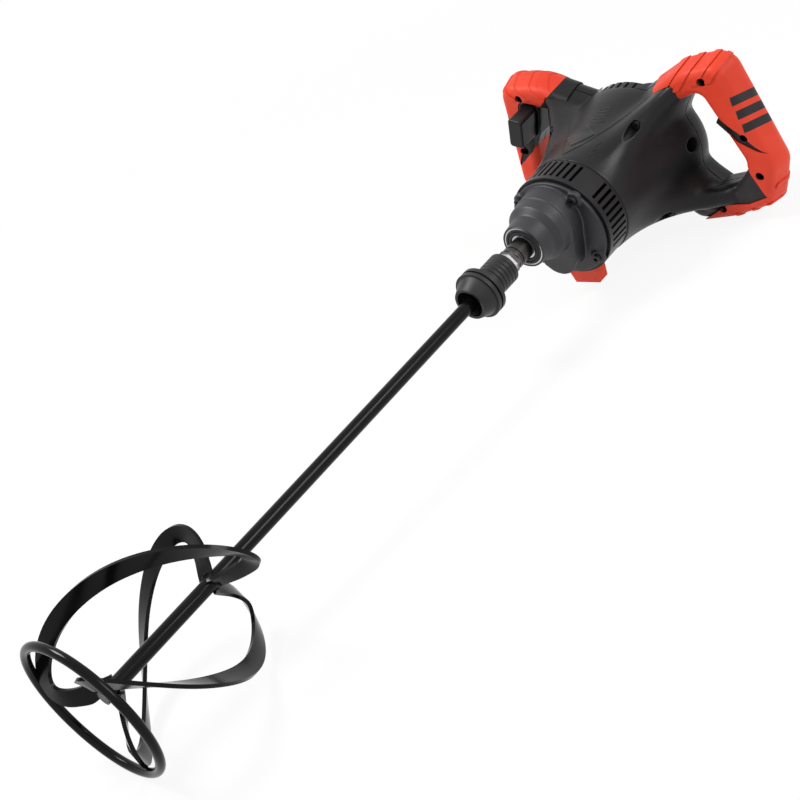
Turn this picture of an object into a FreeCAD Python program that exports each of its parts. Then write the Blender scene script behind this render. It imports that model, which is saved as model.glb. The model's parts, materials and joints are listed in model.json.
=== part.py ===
import FreeCAD, Part
import math
import os

# A two-handed mixing drill, lying on its paddle ring and on the lower edges of its two handles.
# Lengths are millimetres and angles are degrees. X runs from the left handle to the right one,
# Y along the spindle from the paddle to the motor, and Z up from the underside.
# Places along the spindle are counted from the middle plane of the paddle ring.

# General fits
cut_overrun = 2.0
seat_gap = 0.02
running_gap = 0.05
moulding_gap = 0.1
shell_gap = 0.35
plane_slack = 0.001

# Paddle: shaft, three helical strips and a round-bar foot ring
ring_radius = 67.0
ring_rod_diameter = 8.0
shaft_diameter = 13.0
shaft_foot = 12.0
blade_count = 3
blade_radius = 67.9
blade_width = 15.0
blade_thickness = 3.4
blade_top = 134.0
blade_low = 30.2
blade_top_flare = 52.0
blade_low_flare = 60.0
blade_sag = 8.4
blade_start_angle = 10.4
blade_turn = 174.7
blade_squareness = 2.95
blade_lean = 89.0
blade_lean_swing = 26.0
blade_stations = 25

# Quick-release coupling
cup_reach = 505.0
cup_length = 13.0
cup_rim_radius = 16.4
cup_wall = 2.6
cup_root_radius = 22.2
collar_radius = 24.4
collar_width = 4.0
collar_groove_width = 2.4
collar_groove_depth = 2.2
ribbed_radius = 16.2
ribbed_length = 34.0
rib_groove_count = 6
rib_groove_depth = 0.9
rib_groove_width = 1.6
sleeve_travel = 8.0
land_length = 12.0
coupling_radius = 10.5
coupling_nose_inset = 17.0
hexagon_width = 21.0
hexagon_length = 12.0
coupling_rim_radius = 11.2
coupling_rim_length = 3.0
shank_width = 11.0
shank_depth = 30.0
ball_radius = 2.4
ball_count = 3
ball_circle_radius = 7.9
spring_pocket_radius = 13.2
spring_wire = 1.2
spring_coil_radius = 11.9
spring_turns = 6
circlip_width = 1.2
circlip_depth = 1.2
circlip_radius = 12.7
circlip_slit = 2.4
wire_flat_count = 10

# Output spindle and its front bearing
stub_radius = 7.0
stub_length = 20.0
spindle_collar_radius = 11.5
spindle_collar_length = 19.0
collar_ring_depth = 0.8
collar_ring_width = 1.6
spindle_radius = 10.0
bearing_radius = 21.0
bearing_width = 12.0
inner_race_radius = 14.2
outer_race_bore_radius = 18.6
bearing_ball_count = 9
bearing_ball_radius = 1.9
seal_inset = 0.5
seal_thickness = 1.0
race_gap = 0.15
journal_radius = 6.0
bush_wall = 2.0

# Gear train: two spur stages, motor pinion to intermediate shaft to spindle
fine_module = 0.8
coarse_module = 1.5
rotor_pinion_teeth = 10
intermediate_gear_teeth = 40
intermediate_pinion_teeth = 10
output_gear_teeth = 38
pressure_angle = 25.0
addendum_share = 0.88
dedendum_share = 1.15
backlash = 0.16
fine_gear_width = 6.0
coarse_gear_width = 9.0
gear_side_gap = 1.0
intermediate_shaft_radius = 5.0
intermediate_bush_length = 4.0

# Gearbox housing
nose_length = 53.5
nose_lip = 1.0
nose_front_radius = 22.8
nose_root_radius = 24.6
nose_straight = 17.0
shoulder_radius = 31.0
shoulder_length = 6.0
dome_radius = 33.0
boss_radius = 21.5
boss_wall = 1.6
gear_clearance = 1.2
flange_radius = 52.0
flange_thickness = 4.5
bolt_half_spacing = 33.4
lug_radius = 7.2
lug_rise = 2.0
bolt_radius = 2.5
bolt_head_radius = 4.2
bolt_head_height = 3.6
bolt_length = 24.0
socket_width = 4.0
socket_depth = 2.0
plate_thickness = 4.0
plate_boss_wall = 2.0

# Motor housing with its cooling slots
motor_ring_radius = 55.0
motor_ring_length = 31.0
motor_tube_radius = 50.0
motor_bore_radius = 46.5
fan_bore_radius = 48.0
fan_bore_length = 34.0
motor_tube_engagement = 8.3
screw_boss_radius = 5.5
slot_count = 9
slot_pitch_angle = 7.6
slot_width = 3.2
slot_length = 24.0
slot_inset = 5.0
plate_seat_lip = 1.0

# Motor
rotor_shaft_radius = 6.0
rotor_journal_radius = 4.0
motor_bearing_radius = 11.0
motor_bearing_width = 7.0
fan_radius = 39.0
fan_hub_radius = 11.0
fan_inset = 6.0
fan_width = 14.0
fan_plate = 2.0
fan_blade_count = 11
fan_blade_thickness = 2.0
core_inset = 37.0
core_length = 62.0
core_radius = 25.3
core_slot_count = 12
core_slot_width = 4.0
core_slot_depth = 6.3
winding_length = 11.0
winding_radius = 22.0
air_gap = 0.7
stator_yoke = 8.0
pole_half_angle = 55.0
coil_half_angle = 27.0
coil_overhang = 7.0
coil_gap = 1.0
commutator_radius = 15.0
commutator_length = 20.0
commutator_bars = 24
commutator_slit = 0.8
brush_inset = 138.0
brush_width = 6.0
brush_length = 16.0
brush_holder_wall = 1.5
brush_gap = 0.3
brush_cap_radius = 7.0
brush_cap_length = 5.0
brush_cap_inset = 6.0
brush_spring_wire = 0.8
brush_spring_turns = 5

# Body shell: a four-armed star that opens from a round mouth behind the slots to the handles
shell_places = (0.0, 22.0, 50.0, 78.0, 100.0, 117.0, 134.0)
shell_top_radii = (55.6, 56.0, 57.0, 60.0, 64.0, 65.0, 64.0)
shell_side_radii = (55.6, 56.5, 59.0, 64.5, 71.0, 75.0, 72.0)
shell_arm_radii = (56.0, 60.0, 70.0, 86.0, 107.0, 123.0, 118.0)
shell_arm_spreads = (28.0, 21.0, 15.5, 12.0, 9.5, 8.5, 8.0)
shell_arm_angles = (44.5, 44.5, 44.5, 43.0, 40.0, 37.5, 37.0)
shell_points = 96
shell_start_gap = 0.2

# Marks in the top of the shell: a bare panel, fine grooves and two seam lines
mark_depth = 0.9
panel_width = 28.0
panel_length = 26.0
panel_side = 4.0
panel_inset = 26.0
panel_turn = 14.0
groove_count = 5
groove_width = 1.2
groove_length = 20.0
groove_pitch = 3.6
groove_side = 10.0
groove_inset = 72.0
seam_width = 1.2
seam_inset = 16.0
seam_run = 92.0
seam_spread = 26.0

# Handles: a D-shaped plate each side, split into a front and a rear half
handle_reach = 164.0
handle_rise = 74.0
handle_drop = 101.0
handle_depth = 34.0
handle_inset = 100.2
handle_draft = 8.0
handle_front_edge_radius = 7.5
handle_back_edge_radius = 11.0
loop_edge_radius = 8.0
handle_corner_radius = 22.0
loop_corner_radius = 11.0
outline_shares = ((0.12, 0.81), (0.53, 0.985), (0.855, 1.012), (1.0, 0.314),
                  (0.89, 0.063), (0.59, -0.017), (0.305, -0.046), (0.12, 0.166))
outline_corner_shares = (1.0, 3.0, 1.0, 1.0, 1.0, 3.0, 1.0, 1.0)
loop_shares = ((0.31, 0.745), (0.646, 0.835), (0.805, 0.349), (0.671, 0.223), (0.31, 0.17))
loop_corner_shares = (1.0, 1.0, 1.6, 1.6, 1.0)
tooth_shares = ((0.713, 0.674), (0.671, 0.625), (0.78, 0.49), (0.83, 0.52), (0.76, 0.66))
tooth_depth = 25.0
tooth_inset = 3.0

# Soft grip covers over the handle plates, with their stripe inlays
cover_thickness = 1.6
cover_gap = 0.3
cover_region_shares = ((0.27, 0.97), (0.33, 0.85), (0.375, 0.74), (0.6, 0.55), (0.72, 0.36),
                       (0.79, 0.342), (0.86, 0.145), (0.72, 0.105), (0.57, 0.105), (0.36, 0.0),
                       (0.36, -0.2), (1.2, -0.2), (1.2, 1.2), (0.27, 1.2))
rib_rise = 1.1
rib_width = 5.0
rib_length = 70.0
upper_rib_places_shares = ((0.45, 0.9), (0.58, 0.93), (0.72, 0.96), (0.83, 0.98))
upper_rib_angle = 45.0
upper_rib_region_shares = ((0.27, 0.8), (0.62, 0.88), (0.93, 0.9), (1.2, 1.2), (0.27, 1.2))
lower_rib_places_shares = ((0.62, 0.0), (0.74, 0.02), (0.88, 0.06), (0.97, 0.17))
lower_rib_angles = (100.0, 95.0, 130.0, 155.0)
lower_rib_region_shares = ((0.36, -0.2), (1.2, -0.2), (1.2, 0.26), (0.96, 0.26), (0.87, 0.1),
                           (0.6, 0.04), (0.36, 0.0))
insert_shares = ((0.815, 0.4), (0.79, 0.342), (0.86, 0.145), (0.72, 0.105), (0.576, 0.107),
                 (0.665, 0.195), (0.66, 0.3))
insert_depth = 9.0
front_half_side_share = 0.37
spear_shares = ((0.70, 0.68), (0.68, 0.62), (0.77, 0.525), (0.95, 0.41), (0.82, 0.565))
stripe_count = 3
stripe_start_share = (0.84, 0.765)
stripe_end_share = (1.1, 0.84)
stripe_pitch = 14.6
stripe_width = 9.2
stripe_lean_share = 0.12
stripe_fall_share = 0.3
screw_shares = ((0.692, 0.894), (0.838, 0.53), (0.86, 0.286), (0.525, 0.08))
screw_recess_radius = 4.6
screw_recess_depth = 9.0
screw_head_radius = 4.2
screw_head_height = 3.0
screw_shank_radius = 2.0
screw_length = 20.0

# Screws in the ridges of the body shell
ridge_screw_inset = 52.2
ridge_screw_radius_out = 72.0
ridge_screw_angle = 44.5
ridge_recess_radius = 5.2
ridge_recess_depth = 14.0

# Trigger, its spring and the switch in the left grip
trigger_share = (0.68, 0.745)
trigger_lean = 20.0
trigger_width = 17.0
trigger_length = 34.0
trigger_pulled_projection = 22.0
trigger_inset = 6.0
trigger_corner = 4.0
trigger_travel = 7.0
trigger_gap = 0.5
trigger_spring_radius = 4.0
trigger_spring_wire = 0.8
trigger_spring_turns = 3
switch_depth = 12.0
switch_width = 15.0
switch_length = 30.0
pod_wall = 4.0
pod_inset = 2.0
window_gap = 0.4

# Motor cap with its ribbed edge
cap_radius = 64.4
cap_room_gap = 1.6
cap_straight = 11.0
cap_length = 34.0
cap_end_radius = 48.0
cap_wall = 3.0
cap_rib_count = 44
cap_rib_gap = 4.0
cap_rib_depth = 1.6
cap_bearing_inset = 12.0

# Foot under the motor ring, and the cable inlet behind the left handle
foot_half_width = 19.0
foot_toe_half_width = 15.0
foot_length = 24.0
foot_drop = 86.0
foot_start_inset = 2.0
foot_slant = 5.0
inlet_share = (0.47, 0.1)
inlet_radius = 8.0
inlet_bore_radius = 4.2
inlet_length = 14.0

# Lying pose
largest_tilt = 10.0
tilt_rounds = 30

along = FreeCAD.Vector(0, 1, 0)
across = FreeCAD.Vector(1, 0, 0)

# Places along the spindle, worked out from the lengths above
ring_rod_radius = ring_rod_diameter / 2
shaft_radius = shaft_diameter / 2
collar_start = cup_reach + cup_length
collar_end = collar_start + 2 * collar_width + collar_groove_width
sleeve_end = collar_end + ribbed_length
hexagon_end = sleeve_end + hexagon_length
coupling_end = hexagon_end + coupling_rim_length
coupling_front = cup_reach + coupling_nose_inset
shank_end = coupling_front + shank_depth
bearing_face = coupling_end + spindle_collar_length
bearing_back = bearing_face + bearing_width
flange_front = bearing_face + nose_length
flange_back = flange_front + flange_thickness
plate_back = flange_back + plate_thickness
fine_gear_end = flange_back - gear_side_gap
fine_gear_start = fine_gear_end - fine_gear_width
coarse_gear_end = fine_gear_start - gear_side_gap
coarse_gear_start = coarse_gear_end - coarse_gear_width
boss_bush_start = coarse_gear_start - gear_side_gap - intermediate_bush_length
boss_front = boss_bush_start - boss_wall
motor_ring_end = flange_back + motor_ring_length
shell_start = motor_ring_end + shell_start_gap
handle_front = shell_start + handle_inset
handle_back = handle_front + handle_depth
split_place = handle_front + handle_depth / 2
brush_place = flange_back + brush_inset
core_start = flange_back + core_inset
core_end = core_start + core_length
cap_start = split_place + moulding_gap
cap_end = cap_start + cap_length
motor_tube_end = cap_start + motor_tube_engagement
trigger_projection = trigger_pulled_projection + trigger_travel
ball_inset = sleeve_travel
ridge_screw_place = shell_start + ridge_screw_inset

# Heights of the axes: the spindle is at zero, the motor and the intermediate shaft lie below it
first_stage_distance = fine_module * (rotor_pinion_teeth + intermediate_gear_teeth) / 2
second_stage_distance = coarse_module * (intermediate_pinion_teeth + output_gear_teeth) / 2
intermediate_height = -second_stage_distance
motor_height = intermediate_height + first_stage_distance
output_gear_outer = coarse_module * (output_gear_teeth / 2 + addendum_share)
intermediate_gear_outer = fine_module * (intermediate_gear_teeth / 2 + addendum_share)
intermediate_pinion_outer = coarse_module * (intermediate_pinion_teeth / 2 + addendum_share)


def vec(x, y, z):
    return FreeCAD.Vector(x, y, z)


def rod(radius, start, end, height=0, side=0):
    """A round bar along the spindle direction."""
    return Part.makeCylinder(radius, end - start, vec(side, start, height), along)


def tube(outer, inner, start, end, height=0, side=0):
    bore = rod(inner, start - cut_overrun, end + cut_overrun, height, side)
    return rod(outer, start, end, height, side).cut(bore)


def turned(profile, height=0, side=0):
    """A turned piece: (radius, place) points in order, closed back to the first."""
    points = [vec(side + radius, place, height) for radius, place in profile]
    face = Part.Face(Part.makePolygon(points + points[:1]))
    return face.revolve(vec(side, 0, height), along, 360)


def hexagon_bar(width, start, end):
    radius = width / math.cos(math.pi / 6) / 2
    turns = [k * math.pi / 3 for k in range(7)]
    corners = [vec(radius * math.cos(turn), start, radius * math.sin(turn)) for turn in turns]
    return Part.Face(Part.makePolygon(corners)).extrude(along * (end - start))


def joined(shapes):
    shapes = list(shapes)
    if len(shapes) == 1:
        return shapes[0]
    return shapes[0].multiFuse(shapes[1:]).removeSplitter()


def turned_about(shape, angle, height=0, side=0):
    copy = shape.copy()
    copy.rotate(vec(side, 0, height), along, angle)
    return copy


def around(shape, count, height=0, side=0):
    """Copies spread evenly round an axis along the spindle direction."""
    return [turned_about(shape, 360 * k / count, height, side) for k in range(count)]


def mirrored(shape):
    return shape.mirror(vec(0, 0, 0), across)


def coil(radius, wire, turns, start, end, height=0, side=0):
    """A compression spring: a drawn wire with flats on a helix along the spindle direction."""
    length = end - start - wire
    helix = Part.makeHelix(length / turns, length, radius)
    corners = []
    for k in range(wire_flat_count):
        angle = 2 * math.pi * k / wire_flat_count
        corners.append(vec(radius + wire / 2 * math.cos(angle), 0, wire / 2 * math.sin(angle)))
    section = Part.makePolygon(corners + corners[:1])
    spring = Part.Wire(helix.Edges).makePipeShell([section], True, True)
    spring.rotate(vec(0, 0, 0), across, -90)
    spring.translate(vec(side, start + wire / 2, height))
    return spring


def rounded_wire(corners, radii, place):
    """A closed outline of straight lines in an XZ plane, with an arc in every corner."""
    count = len(corners)
    starts, middles, ends = [], [], []
    for k in range(count):
        before = vec(corners[k - 1][0], place, corners[k - 1][1])
        corner = vec(corners[k][0], place, corners[k][1])
        after = vec(corners[(k + 1) % count][0], place, corners[(k + 1) % count][1])
        arriving = (corner - before).normalize()
        leaving = (after - corner).normalize()
        half_turn = arriving.getAngle(leaving) / 2
        reach = radii[k] * math.tan(half_turn)
        inward = (leaving - arriving).normalize()
        sink = radii[k] / math.cos(half_turn) - radii[k]
        starts.append(corner - arriving * reach)
        middles.append(corner + inward * sink)
        ends.append(corner + leaving * reach)
    edges = []
    for k in range(count):
        edges.append(Part.Arc(starts[k], middles[k], ends[k]).toShape())
        edges.append(Part.LineSegment(ends[k], starts[(k + 1) % count]).toShape())
    return Part.Wire(edges)


def handle_point(shares):
    """A place in the handle plane from shares of its reach and of its height."""
    return (shares[0] * handle_reach, -handle_drop + shares[1] * (handle_rise + handle_drop))


def handle_prism(shares, start, end):
    points = [vec(x, start, z) for x, z in map(handle_point, shares)]
    return Part.Face(Part.makePolygon(points + points[:1])).extrude(along * (end - start))


def involute_angle(base, radius):
    if radius <= base:
        return 0.0
    rest = math.acos(base / radius)
    return math.tan(rest) - rest


def spur_gear(teeth, module, start, end, height, tooth_angle):
    """A spur gear whose flanks are arcs through three points of the involute."""
    pitch = module * teeth / 2
    base = pitch * math.cos(math.radians(pressure_angle))
    tip = pitch + addendum_share * module
    root = pitch - dedendum_share * module
    flank_foot = max(base, root)
    half = math.pi / teeth / 2 - backlash / pitch / 4 + involute_angle(base, pitch)
    foot_half = half - involute_angle(base, flank_foot)

    def flank_point(radius, tooth, side):
        angle = tooth_angle + 2 * math.pi * tooth / teeth + side * (half - involute_angle(base, radius))
        return vec(radius * math.cos(angle), start, height + radius * math.sin(angle))

    def ring_point(radius, angle):
        return vec(radius * math.cos(angle), start, height + radius * math.sin(angle))

    edges = []
    for tooth in range(teeth):
        middle = tooth_angle + 2 * math.pi * tooth / teeth
        gap = middle + math.pi / teeth
        low, mean, high = flank_foot, (flank_foot + tip) / 2, tip
        rising = [flank_point(r, tooth, -1) for r in (low, mean, high)]
        falling = [flank_point(r, tooth, 1) for r in (high, mean, low)]
        root_in = ring_point(root, middle - foot_half)
        root_out = ring_point(root, middle + foot_half)
        next_in = ring_point(root, middle + 2 * math.pi / teeth - foot_half)
        if flank_foot > root:
            edges.append(Part.LineSegment(root_in, rising[0]).toShape())
        edges.append(Part.Arc(*rising).toShape())
        edges.append(Part.Arc(rising[2], ring_point(tip, middle), falling[0]).toShape())
        edges.append(Part.Arc(*falling).toShape())
        if flank_foot > root:
            edges.append(Part.LineSegment(falling[2], root_out).toShape())
        edges.append(Part.Arc(root_out, ring_point(root, gap), next_in).toShape())
    return Part.Face(Part.Wire(edges)).extrude(along * (end - start))


def egg_outline(drop, upper_radius, lower_radius, place):
    """The outline that wraps two circles, one below the other, with straight sides."""
    slope = math.asin((upper_radius - lower_radius) / drop)
    out, down = math.cos(slope), -math.sin(slope)
    upper_right = vec(upper_radius * out, place, upper_radius * down)
    lower_right = vec(lower_radius * out, place, -drop + lower_radius * down)
    upper_left = vec(-upper_right.x, place, upper_right.z)
    lower_left = vec(-lower_right.x, place, lower_right.z)
    top = Part.Arc(upper_right, vec(0, place, upper_radius), upper_left).toShape()
    bottom = Part.Arc(lower_left, vec(0, place, -drop - lower_radius), lower_right).toShape()
    left = Part.LineSegment(upper_left, lower_left).toShape()
    right = Part.LineSegment(lower_right, upper_right).toShape()
    return Part.Wire([top, left, bottom, right])


def screw(head_radius, head_height, shank_radius, length, place, height, side):
    """A socket screw that points to the motor, its head seated at the given place."""
    head = rod(head_radius, place - head_height, place, height, side)
    socket = hexagon_bar(socket_width, place - head_height, place - head_height + socket_depth)
    socket.translate(vec(side, 0, height))
    return head.cut(socket).fuse(rod(shank_radius, place, place + length, height, side)).removeSplitter()


# Paddle


def blade_station(turn_share):
    """Centre of a strip at one station: out from the shaft, round a helix and back in."""
    swing = math.pi * turn_share
    power = 2 / blade_squareness
    run = (1 - math.copysign(abs(math.cos(swing)) ** power, math.cos(swing))) / 2
    radius_share = math.sin(swing) ** power
    angle = math.radians(blade_start_angle + blade_turn * run)
    radius = blade_radius * radius_share
    flare = blade_top_flare if run < 1 / 2 else blade_low_flare
    bow = flare * (1 - 2 * run) - blade_sag * (1 - (1 - 2 * run) ** 2)
    place = blade_top + (blade_low - blade_top) * run + bow * radius_share
    return vec(radius * math.cos(angle), place, radius * math.sin(angle))


def blade(ring, shaft):
    """A strip on edge, lofted through sections square to its path, seated on the ring and the shaft."""
    first_share = math.asin((shaft_radius / blade_radius / 2) ** (blade_squareness / 2)) / math.pi
    step = (1 - 2 * first_share) / (blade_stations - 1)
    sections = []
    for k in range(blade_stations):
        share = first_share + k * step
        centre = blade_station(share)
        ahead = blade_station(min(share + step / 4, 1 - first_share / 2))
        behind = blade_station(max(share - step / 4, first_share / 2))
        run = (ahead - behind).normalize()
        lean = math.radians(blade_lean + blade_lean_swing * (2 * k / (blade_stations - 1) - 1))
        flat = (along - run * along.dot(run)).normalize()
        edge = run.cross(flat).normalize()
        wide = (flat * math.cos(lean) - edge * math.sin(lean)) * (blade_width / 2)
        thick = run.cross(wide).normalize() * (blade_thickness / 2)
        corners = [centre + wide + thick, centre + wide - thick,
                   centre - wide - thick, centre - wide + thick]
        sections.append(Part.makePolygon(corners + corners[:1]))
    strip = Part.makeLoft(sections, True, False)
    return strip.cut(ring).cut(shaft)


def ball_places():
    return [2 * math.pi * k / ball_count for k in range(ball_count)]


def paddle_shaft():
    """A round bar with a hexagon shank that the locking balls hold by a groove."""
    bar = rod(shaft_radius, shaft_foot, coupling_front)
    shank = hexagon_bar(shank_width, coupling_front, shank_end)
    groove_place = coupling_front + ball_inset
    groove = Part.makeTorus(ball_circle_radius, ball_radius + running_gap, vec(0, groove_place, 0), along)
    return bar.fuse(shank).cut(groove).removeSplitter()


# Coupling


def coupling_sleeve():
    """The sliding sleeve: open cup, double collar, ribbed grip and a pocket for the spring."""
    groove_floor = collar_radius - collar_groove_depth
    groove_start = collar_start + collar_width
    groove_end = groove_start + collar_groove_width
    land_end = coupling_front + land_length
    land_radius = coupling_radius + running_gap
    profile = [(cup_rim_radius, cup_reach), (cup_root_radius, collar_start), (collar_radius, collar_start),
               (collar_radius, groove_start), (groove_floor, groove_start), (groove_floor, groove_end),
               (collar_radius, groove_end), (collar_radius, collar_end), (ribbed_radius, collar_end)]
    rib_step = ribbed_length / (rib_groove_count + 1)
    for k in range(rib_groove_count):
        groove = collar_end + (k + 1) * rib_step
        profile.append((ribbed_radius, groove - rib_groove_width / 2))
        profile.append((ribbed_radius - rib_groove_depth, groove))
        profile.append((ribbed_radius, groove + rib_groove_width / 2))
    profile += [(ribbed_radius, sleeve_end), (spring_pocket_radius, sleeve_end),
                (spring_pocket_radius, land_end), (land_radius, land_end), (land_radius, coupling_front),
                (cup_rim_radius - cup_wall, coupling_front), (cup_rim_radius - cup_wall, cup_reach)]
    return turned(profile)


def ball_hole():
    hole = Part.makeCylinder(ball_radius + running_gap, coupling_radius + cut_overrun,
                             vec(0, coupling_front + ball_inset, 0), across)
    return hole


def coupling_body():
    """A steel socket with a bright hexagon; the shank enters from below, the spindle stub from above."""
    front = rod(coupling_radius, coupling_front, sleeve_end)
    hexagon = hexagon_bar(hexagon_width, sleeve_end, hexagon_end)
    rim = rod(coupling_rim_radius, hexagon_end, coupling_end)
    socket = hexagon_bar(shank_width + 2 * running_gap, coupling_front - cut_overrun, shank_end + seat_gap)
    stub_bore = rod(stub_radius + seat_gap, coupling_end - stub_length, coupling_end + cut_overrun)
    clip_start = sleeve_end - circlip_width - seat_gap
    clip_groove = tube(coupling_radius + cut_overrun, coupling_radius - circlip_depth,
                       clip_start, sleeve_end)
    body = joined([front, hexagon, rim]).cut(socket).cut(stub_bore).cut(clip_groove)
    for hole in around(ball_hole(), ball_count):
        body = body.cut(hole)
    return body


def coupling_circlip():
    start = sleeve_end - circlip_width
    ring = tube(circlip_radius, coupling_radius - circlip_depth + seat_gap, start, sleeve_end - seat_gap)
    slit = Part.makeBox(circlip_radius + cut_overrun, circlip_width + 2 * cut_overrun, circlip_slit,
                        vec(0, start - cut_overrun, -circlip_slit / 2))
    return ring.cut(slit)


def locking_balls():
    place = coupling_front + ball_inset
    balls = []
    for angle in ball_places():
        centre = vec(ball_circle_radius * math.cos(angle), place, -ball_circle_radius * math.sin(angle))
        balls.append(Part.makeSphere(ball_radius, centre))
    return Part.makeCompound(balls)


def coupling_spring():
    start = coupling_front + land_length + moulding_gap
    end = sleeve_end - circlip_width - moulding_gap
    return coil(spring_coil_radius, spring_wire, spring_turns, start, end)


# Spindle and front bearing


def output_spindle():
    stub_start = coupling_end - stub_length + seat_gap
    ring_start = coupling_end + collar_ring_width
    ring_floor = spindle_collar_radius - collar_ring_depth
    journal_end = flange_back - gear_side_gap
    return turned([(0, stub_start), (stub_radius, stub_start), (stub_radius, coupling_end),
                   (spindle_collar_radius, coupling_end), (spindle_collar_radius, ring_start),
                   (ring_floor, ring_start), (ring_floor, ring_start + collar_ring_width),
                   (spindle_collar_radius, ring_start + collar_ring_width),
                   (spindle_collar_radius, bearing_face), (spindle_radius, bearing_face),
                   (spindle_radius, coarse_gear_end), (journal_radius, coarse_gear_end),
                   (journal_radius, journal_end), (0, journal_end)])


def front_bearing_inner():
    return tube(inner_race_radius, spindle_radius + seat_gap, bearing_face, bearing_back)


def front_bearing_outer():
    return tube(bearing_radius, outer_race_bore_radius, bearing_face, bearing_back)


def front_bearing_seal():
    start = bearing_face + seal_inset
    inner = inner_race_radius + race_gap
    return tube(outer_race_bore_radius - seat_gap, inner, start, start + seal_thickness)


def front_bearing_balls():
    circle = (inner_race_radius + outer_race_bore_radius) / 2
    ball = Part.makeSphere(bearing_ball_radius, vec(circle, bearing_face + bearing_width / 2, 0))
    return Part.makeCompound(around(ball, bearing_ball_count))


def spindle_bush():
    start = coarse_gear_end + gear_side_gap
    return tube(journal_radius + bush_wall, journal_radius + running_gap, start, flange_back)


# Gears


def output_gear():
    facing = -math.pi / 2
    gear = spur_gear(output_gear_teeth, coarse_module, coarse_gear_start, coarse_gear_end, 0, facing)
    bore = rod(spindle_radius + seat_gap, coarse_gear_start - cut_overrun, coarse_gear_end + cut_overrun)
    return gear.cut(bore)


def intermediate_shaft():
    facing = math.pi / 2 + math.pi / intermediate_pinion_teeth
    pinion = spur_gear(intermediate_pinion_teeth, coarse_module, coarse_gear_start, coarse_gear_end,
                       intermediate_height, facing)
    shaft = rod(intermediate_shaft_radius, boss_bush_start, plate_back, intermediate_height)
    return joined([pinion, shaft])


def intermediate_gear():
    facing = math.pi / 2
    gear = spur_gear(intermediate_gear_teeth, fine_module, fine_gear_start, fine_gear_end,
                     intermediate_height, facing)
    bore = rod(intermediate_shaft_radius + seat_gap, fine_gear_start - cut_overrun,
               fine_gear_end + cut_overrun, intermediate_height)
    return gear.cut(bore)


def intermediate_bushes():
    bore = intermediate_shaft_radius + running_gap
    outer = bore + bush_wall
    front = tube(outer, bore, boss_bush_start, boss_bush_start + intermediate_bush_length,
                 intermediate_height)
    back = tube(outer, bore, flange_back, plate_back, intermediate_height)
    return Part.makeCompound([front, back])


# Gearbox


def bolt_places():
    return [(motor_height + z * bolt_half_spacing, x * bolt_half_spacing) for x in (-1, 1) for z in (-1, 1)]


def gearbox_housing():
    """Nose, shoulder and egg-shaped gear case on a round flange with four screw lugs."""
    nose_front = bearing_face - nose_lip
    nose_end = nose_front + nose_straight
    shoulder_end = nose_end + shoulder_length
    nose = turned([(0, nose_front), (nose_front_radius, nose_front), (nose_root_radius, nose_end),
                   (shoulder_radius, shoulder_end), (dome_radius, flange_front), (0, flange_front)])
    outline = egg_outline(second_stage_distance, dome_radius, boss_radius, boss_front)
    case = Part.Face(outline).extrude(along * (flange_front - boss_front))
    flange = rod(flange_radius, flange_front, flange_back, motor_height)
    lugs = [rod(lug_radius, flange_front - lug_rise, flange_back, height, side)
            for height, side in bolt_places()]
    solid = joined([nose, case, flange] + lugs)
    gear_space = rod(output_gear_outer + gear_clearance, coarse_gear_start - gear_side_gap,
                     flange_back + cut_overrun)
    wheel_space = rod(intermediate_gear_outer + gear_clearance, fine_gear_start - gear_side_gap,
                      flange_back + cut_overrun, intermediate_height)
    pinion_space = rod(intermediate_pinion_outer + gear_clearance, coarse_gear_start - gear_side_gap,
                       flange_back + cut_overrun, intermediate_height)
    bearing_seat = rod(bearing_radius + seat_gap, nose_front - cut_overrun, bearing_back)
    spindle_space = rod(inner_race_radius + gear_clearance, bearing_back - cut_overrun, coarse_gear_start)
    bush_seat = rod(intermediate_shaft_radius + running_gap + bush_wall + seat_gap,
                    boss_bush_start - seat_gap, coarse_gear_start, intermediate_height)
    spaces = [wheel_space, pinion_space, bearing_seat, spindle_space, bush_seat]
    solid = solid.cut(gear_space.multiFuse(spaces))
    for height, side in bolt_places():
        solid = solid.cut(rod(bolt_radius + moulding_gap, flange_front - lug_rise - cut_overrun,
                              flange_back + cut_overrun, height, side))
    return solid


def gearbox_plate():
    """The wall between gears and motor, with seats for the bushes and the motor's front bearing."""
    disc = rod(fan_bore_radius, flange_back, plate_back, motor_height)
    bush_outer = journal_radius + bush_wall
    boss = rod(bush_outer + plate_boss_wall, coarse_gear_end + gear_side_gap, flange_back + cut_overrun)
    bearing_boss = rod(motor_bearing_radius + plate_boss_wall, flange_back,
                       flange_back + motor_bearing_width, motor_height)
    plate = joined([disc, boss, bearing_boss])
    plate = plate.cut(rod(bush_outer + seat_gap, coarse_gear_end, plate_back - seal_thickness))
    plate = plate.cut(rod(motor_bearing_radius + seat_gap, flange_back - cut_overrun,
                          flange_back + motor_bearing_width + cut_overrun, motor_height))
    bush_seat = intermediate_shaft_radius + running_gap + bush_wall + seat_gap
    front, back = flange_back - cut_overrun, plate_back + cut_overrun
    plate = plate.cut(rod(bush_seat, front, back, intermediate_height))
    for height, side in bolt_places():
        plate = plate.cut(rod(bolt_radius + moulding_gap, front, back, height, side))
    return plate


def gearbox_screws():
    seat = flange_front - lug_rise
    return Part.makeCompound([screw(bolt_head_radius, bolt_head_height, bolt_radius, bolt_length, seat,
                                    height, side) for height, side in bolt_places()])


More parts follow.
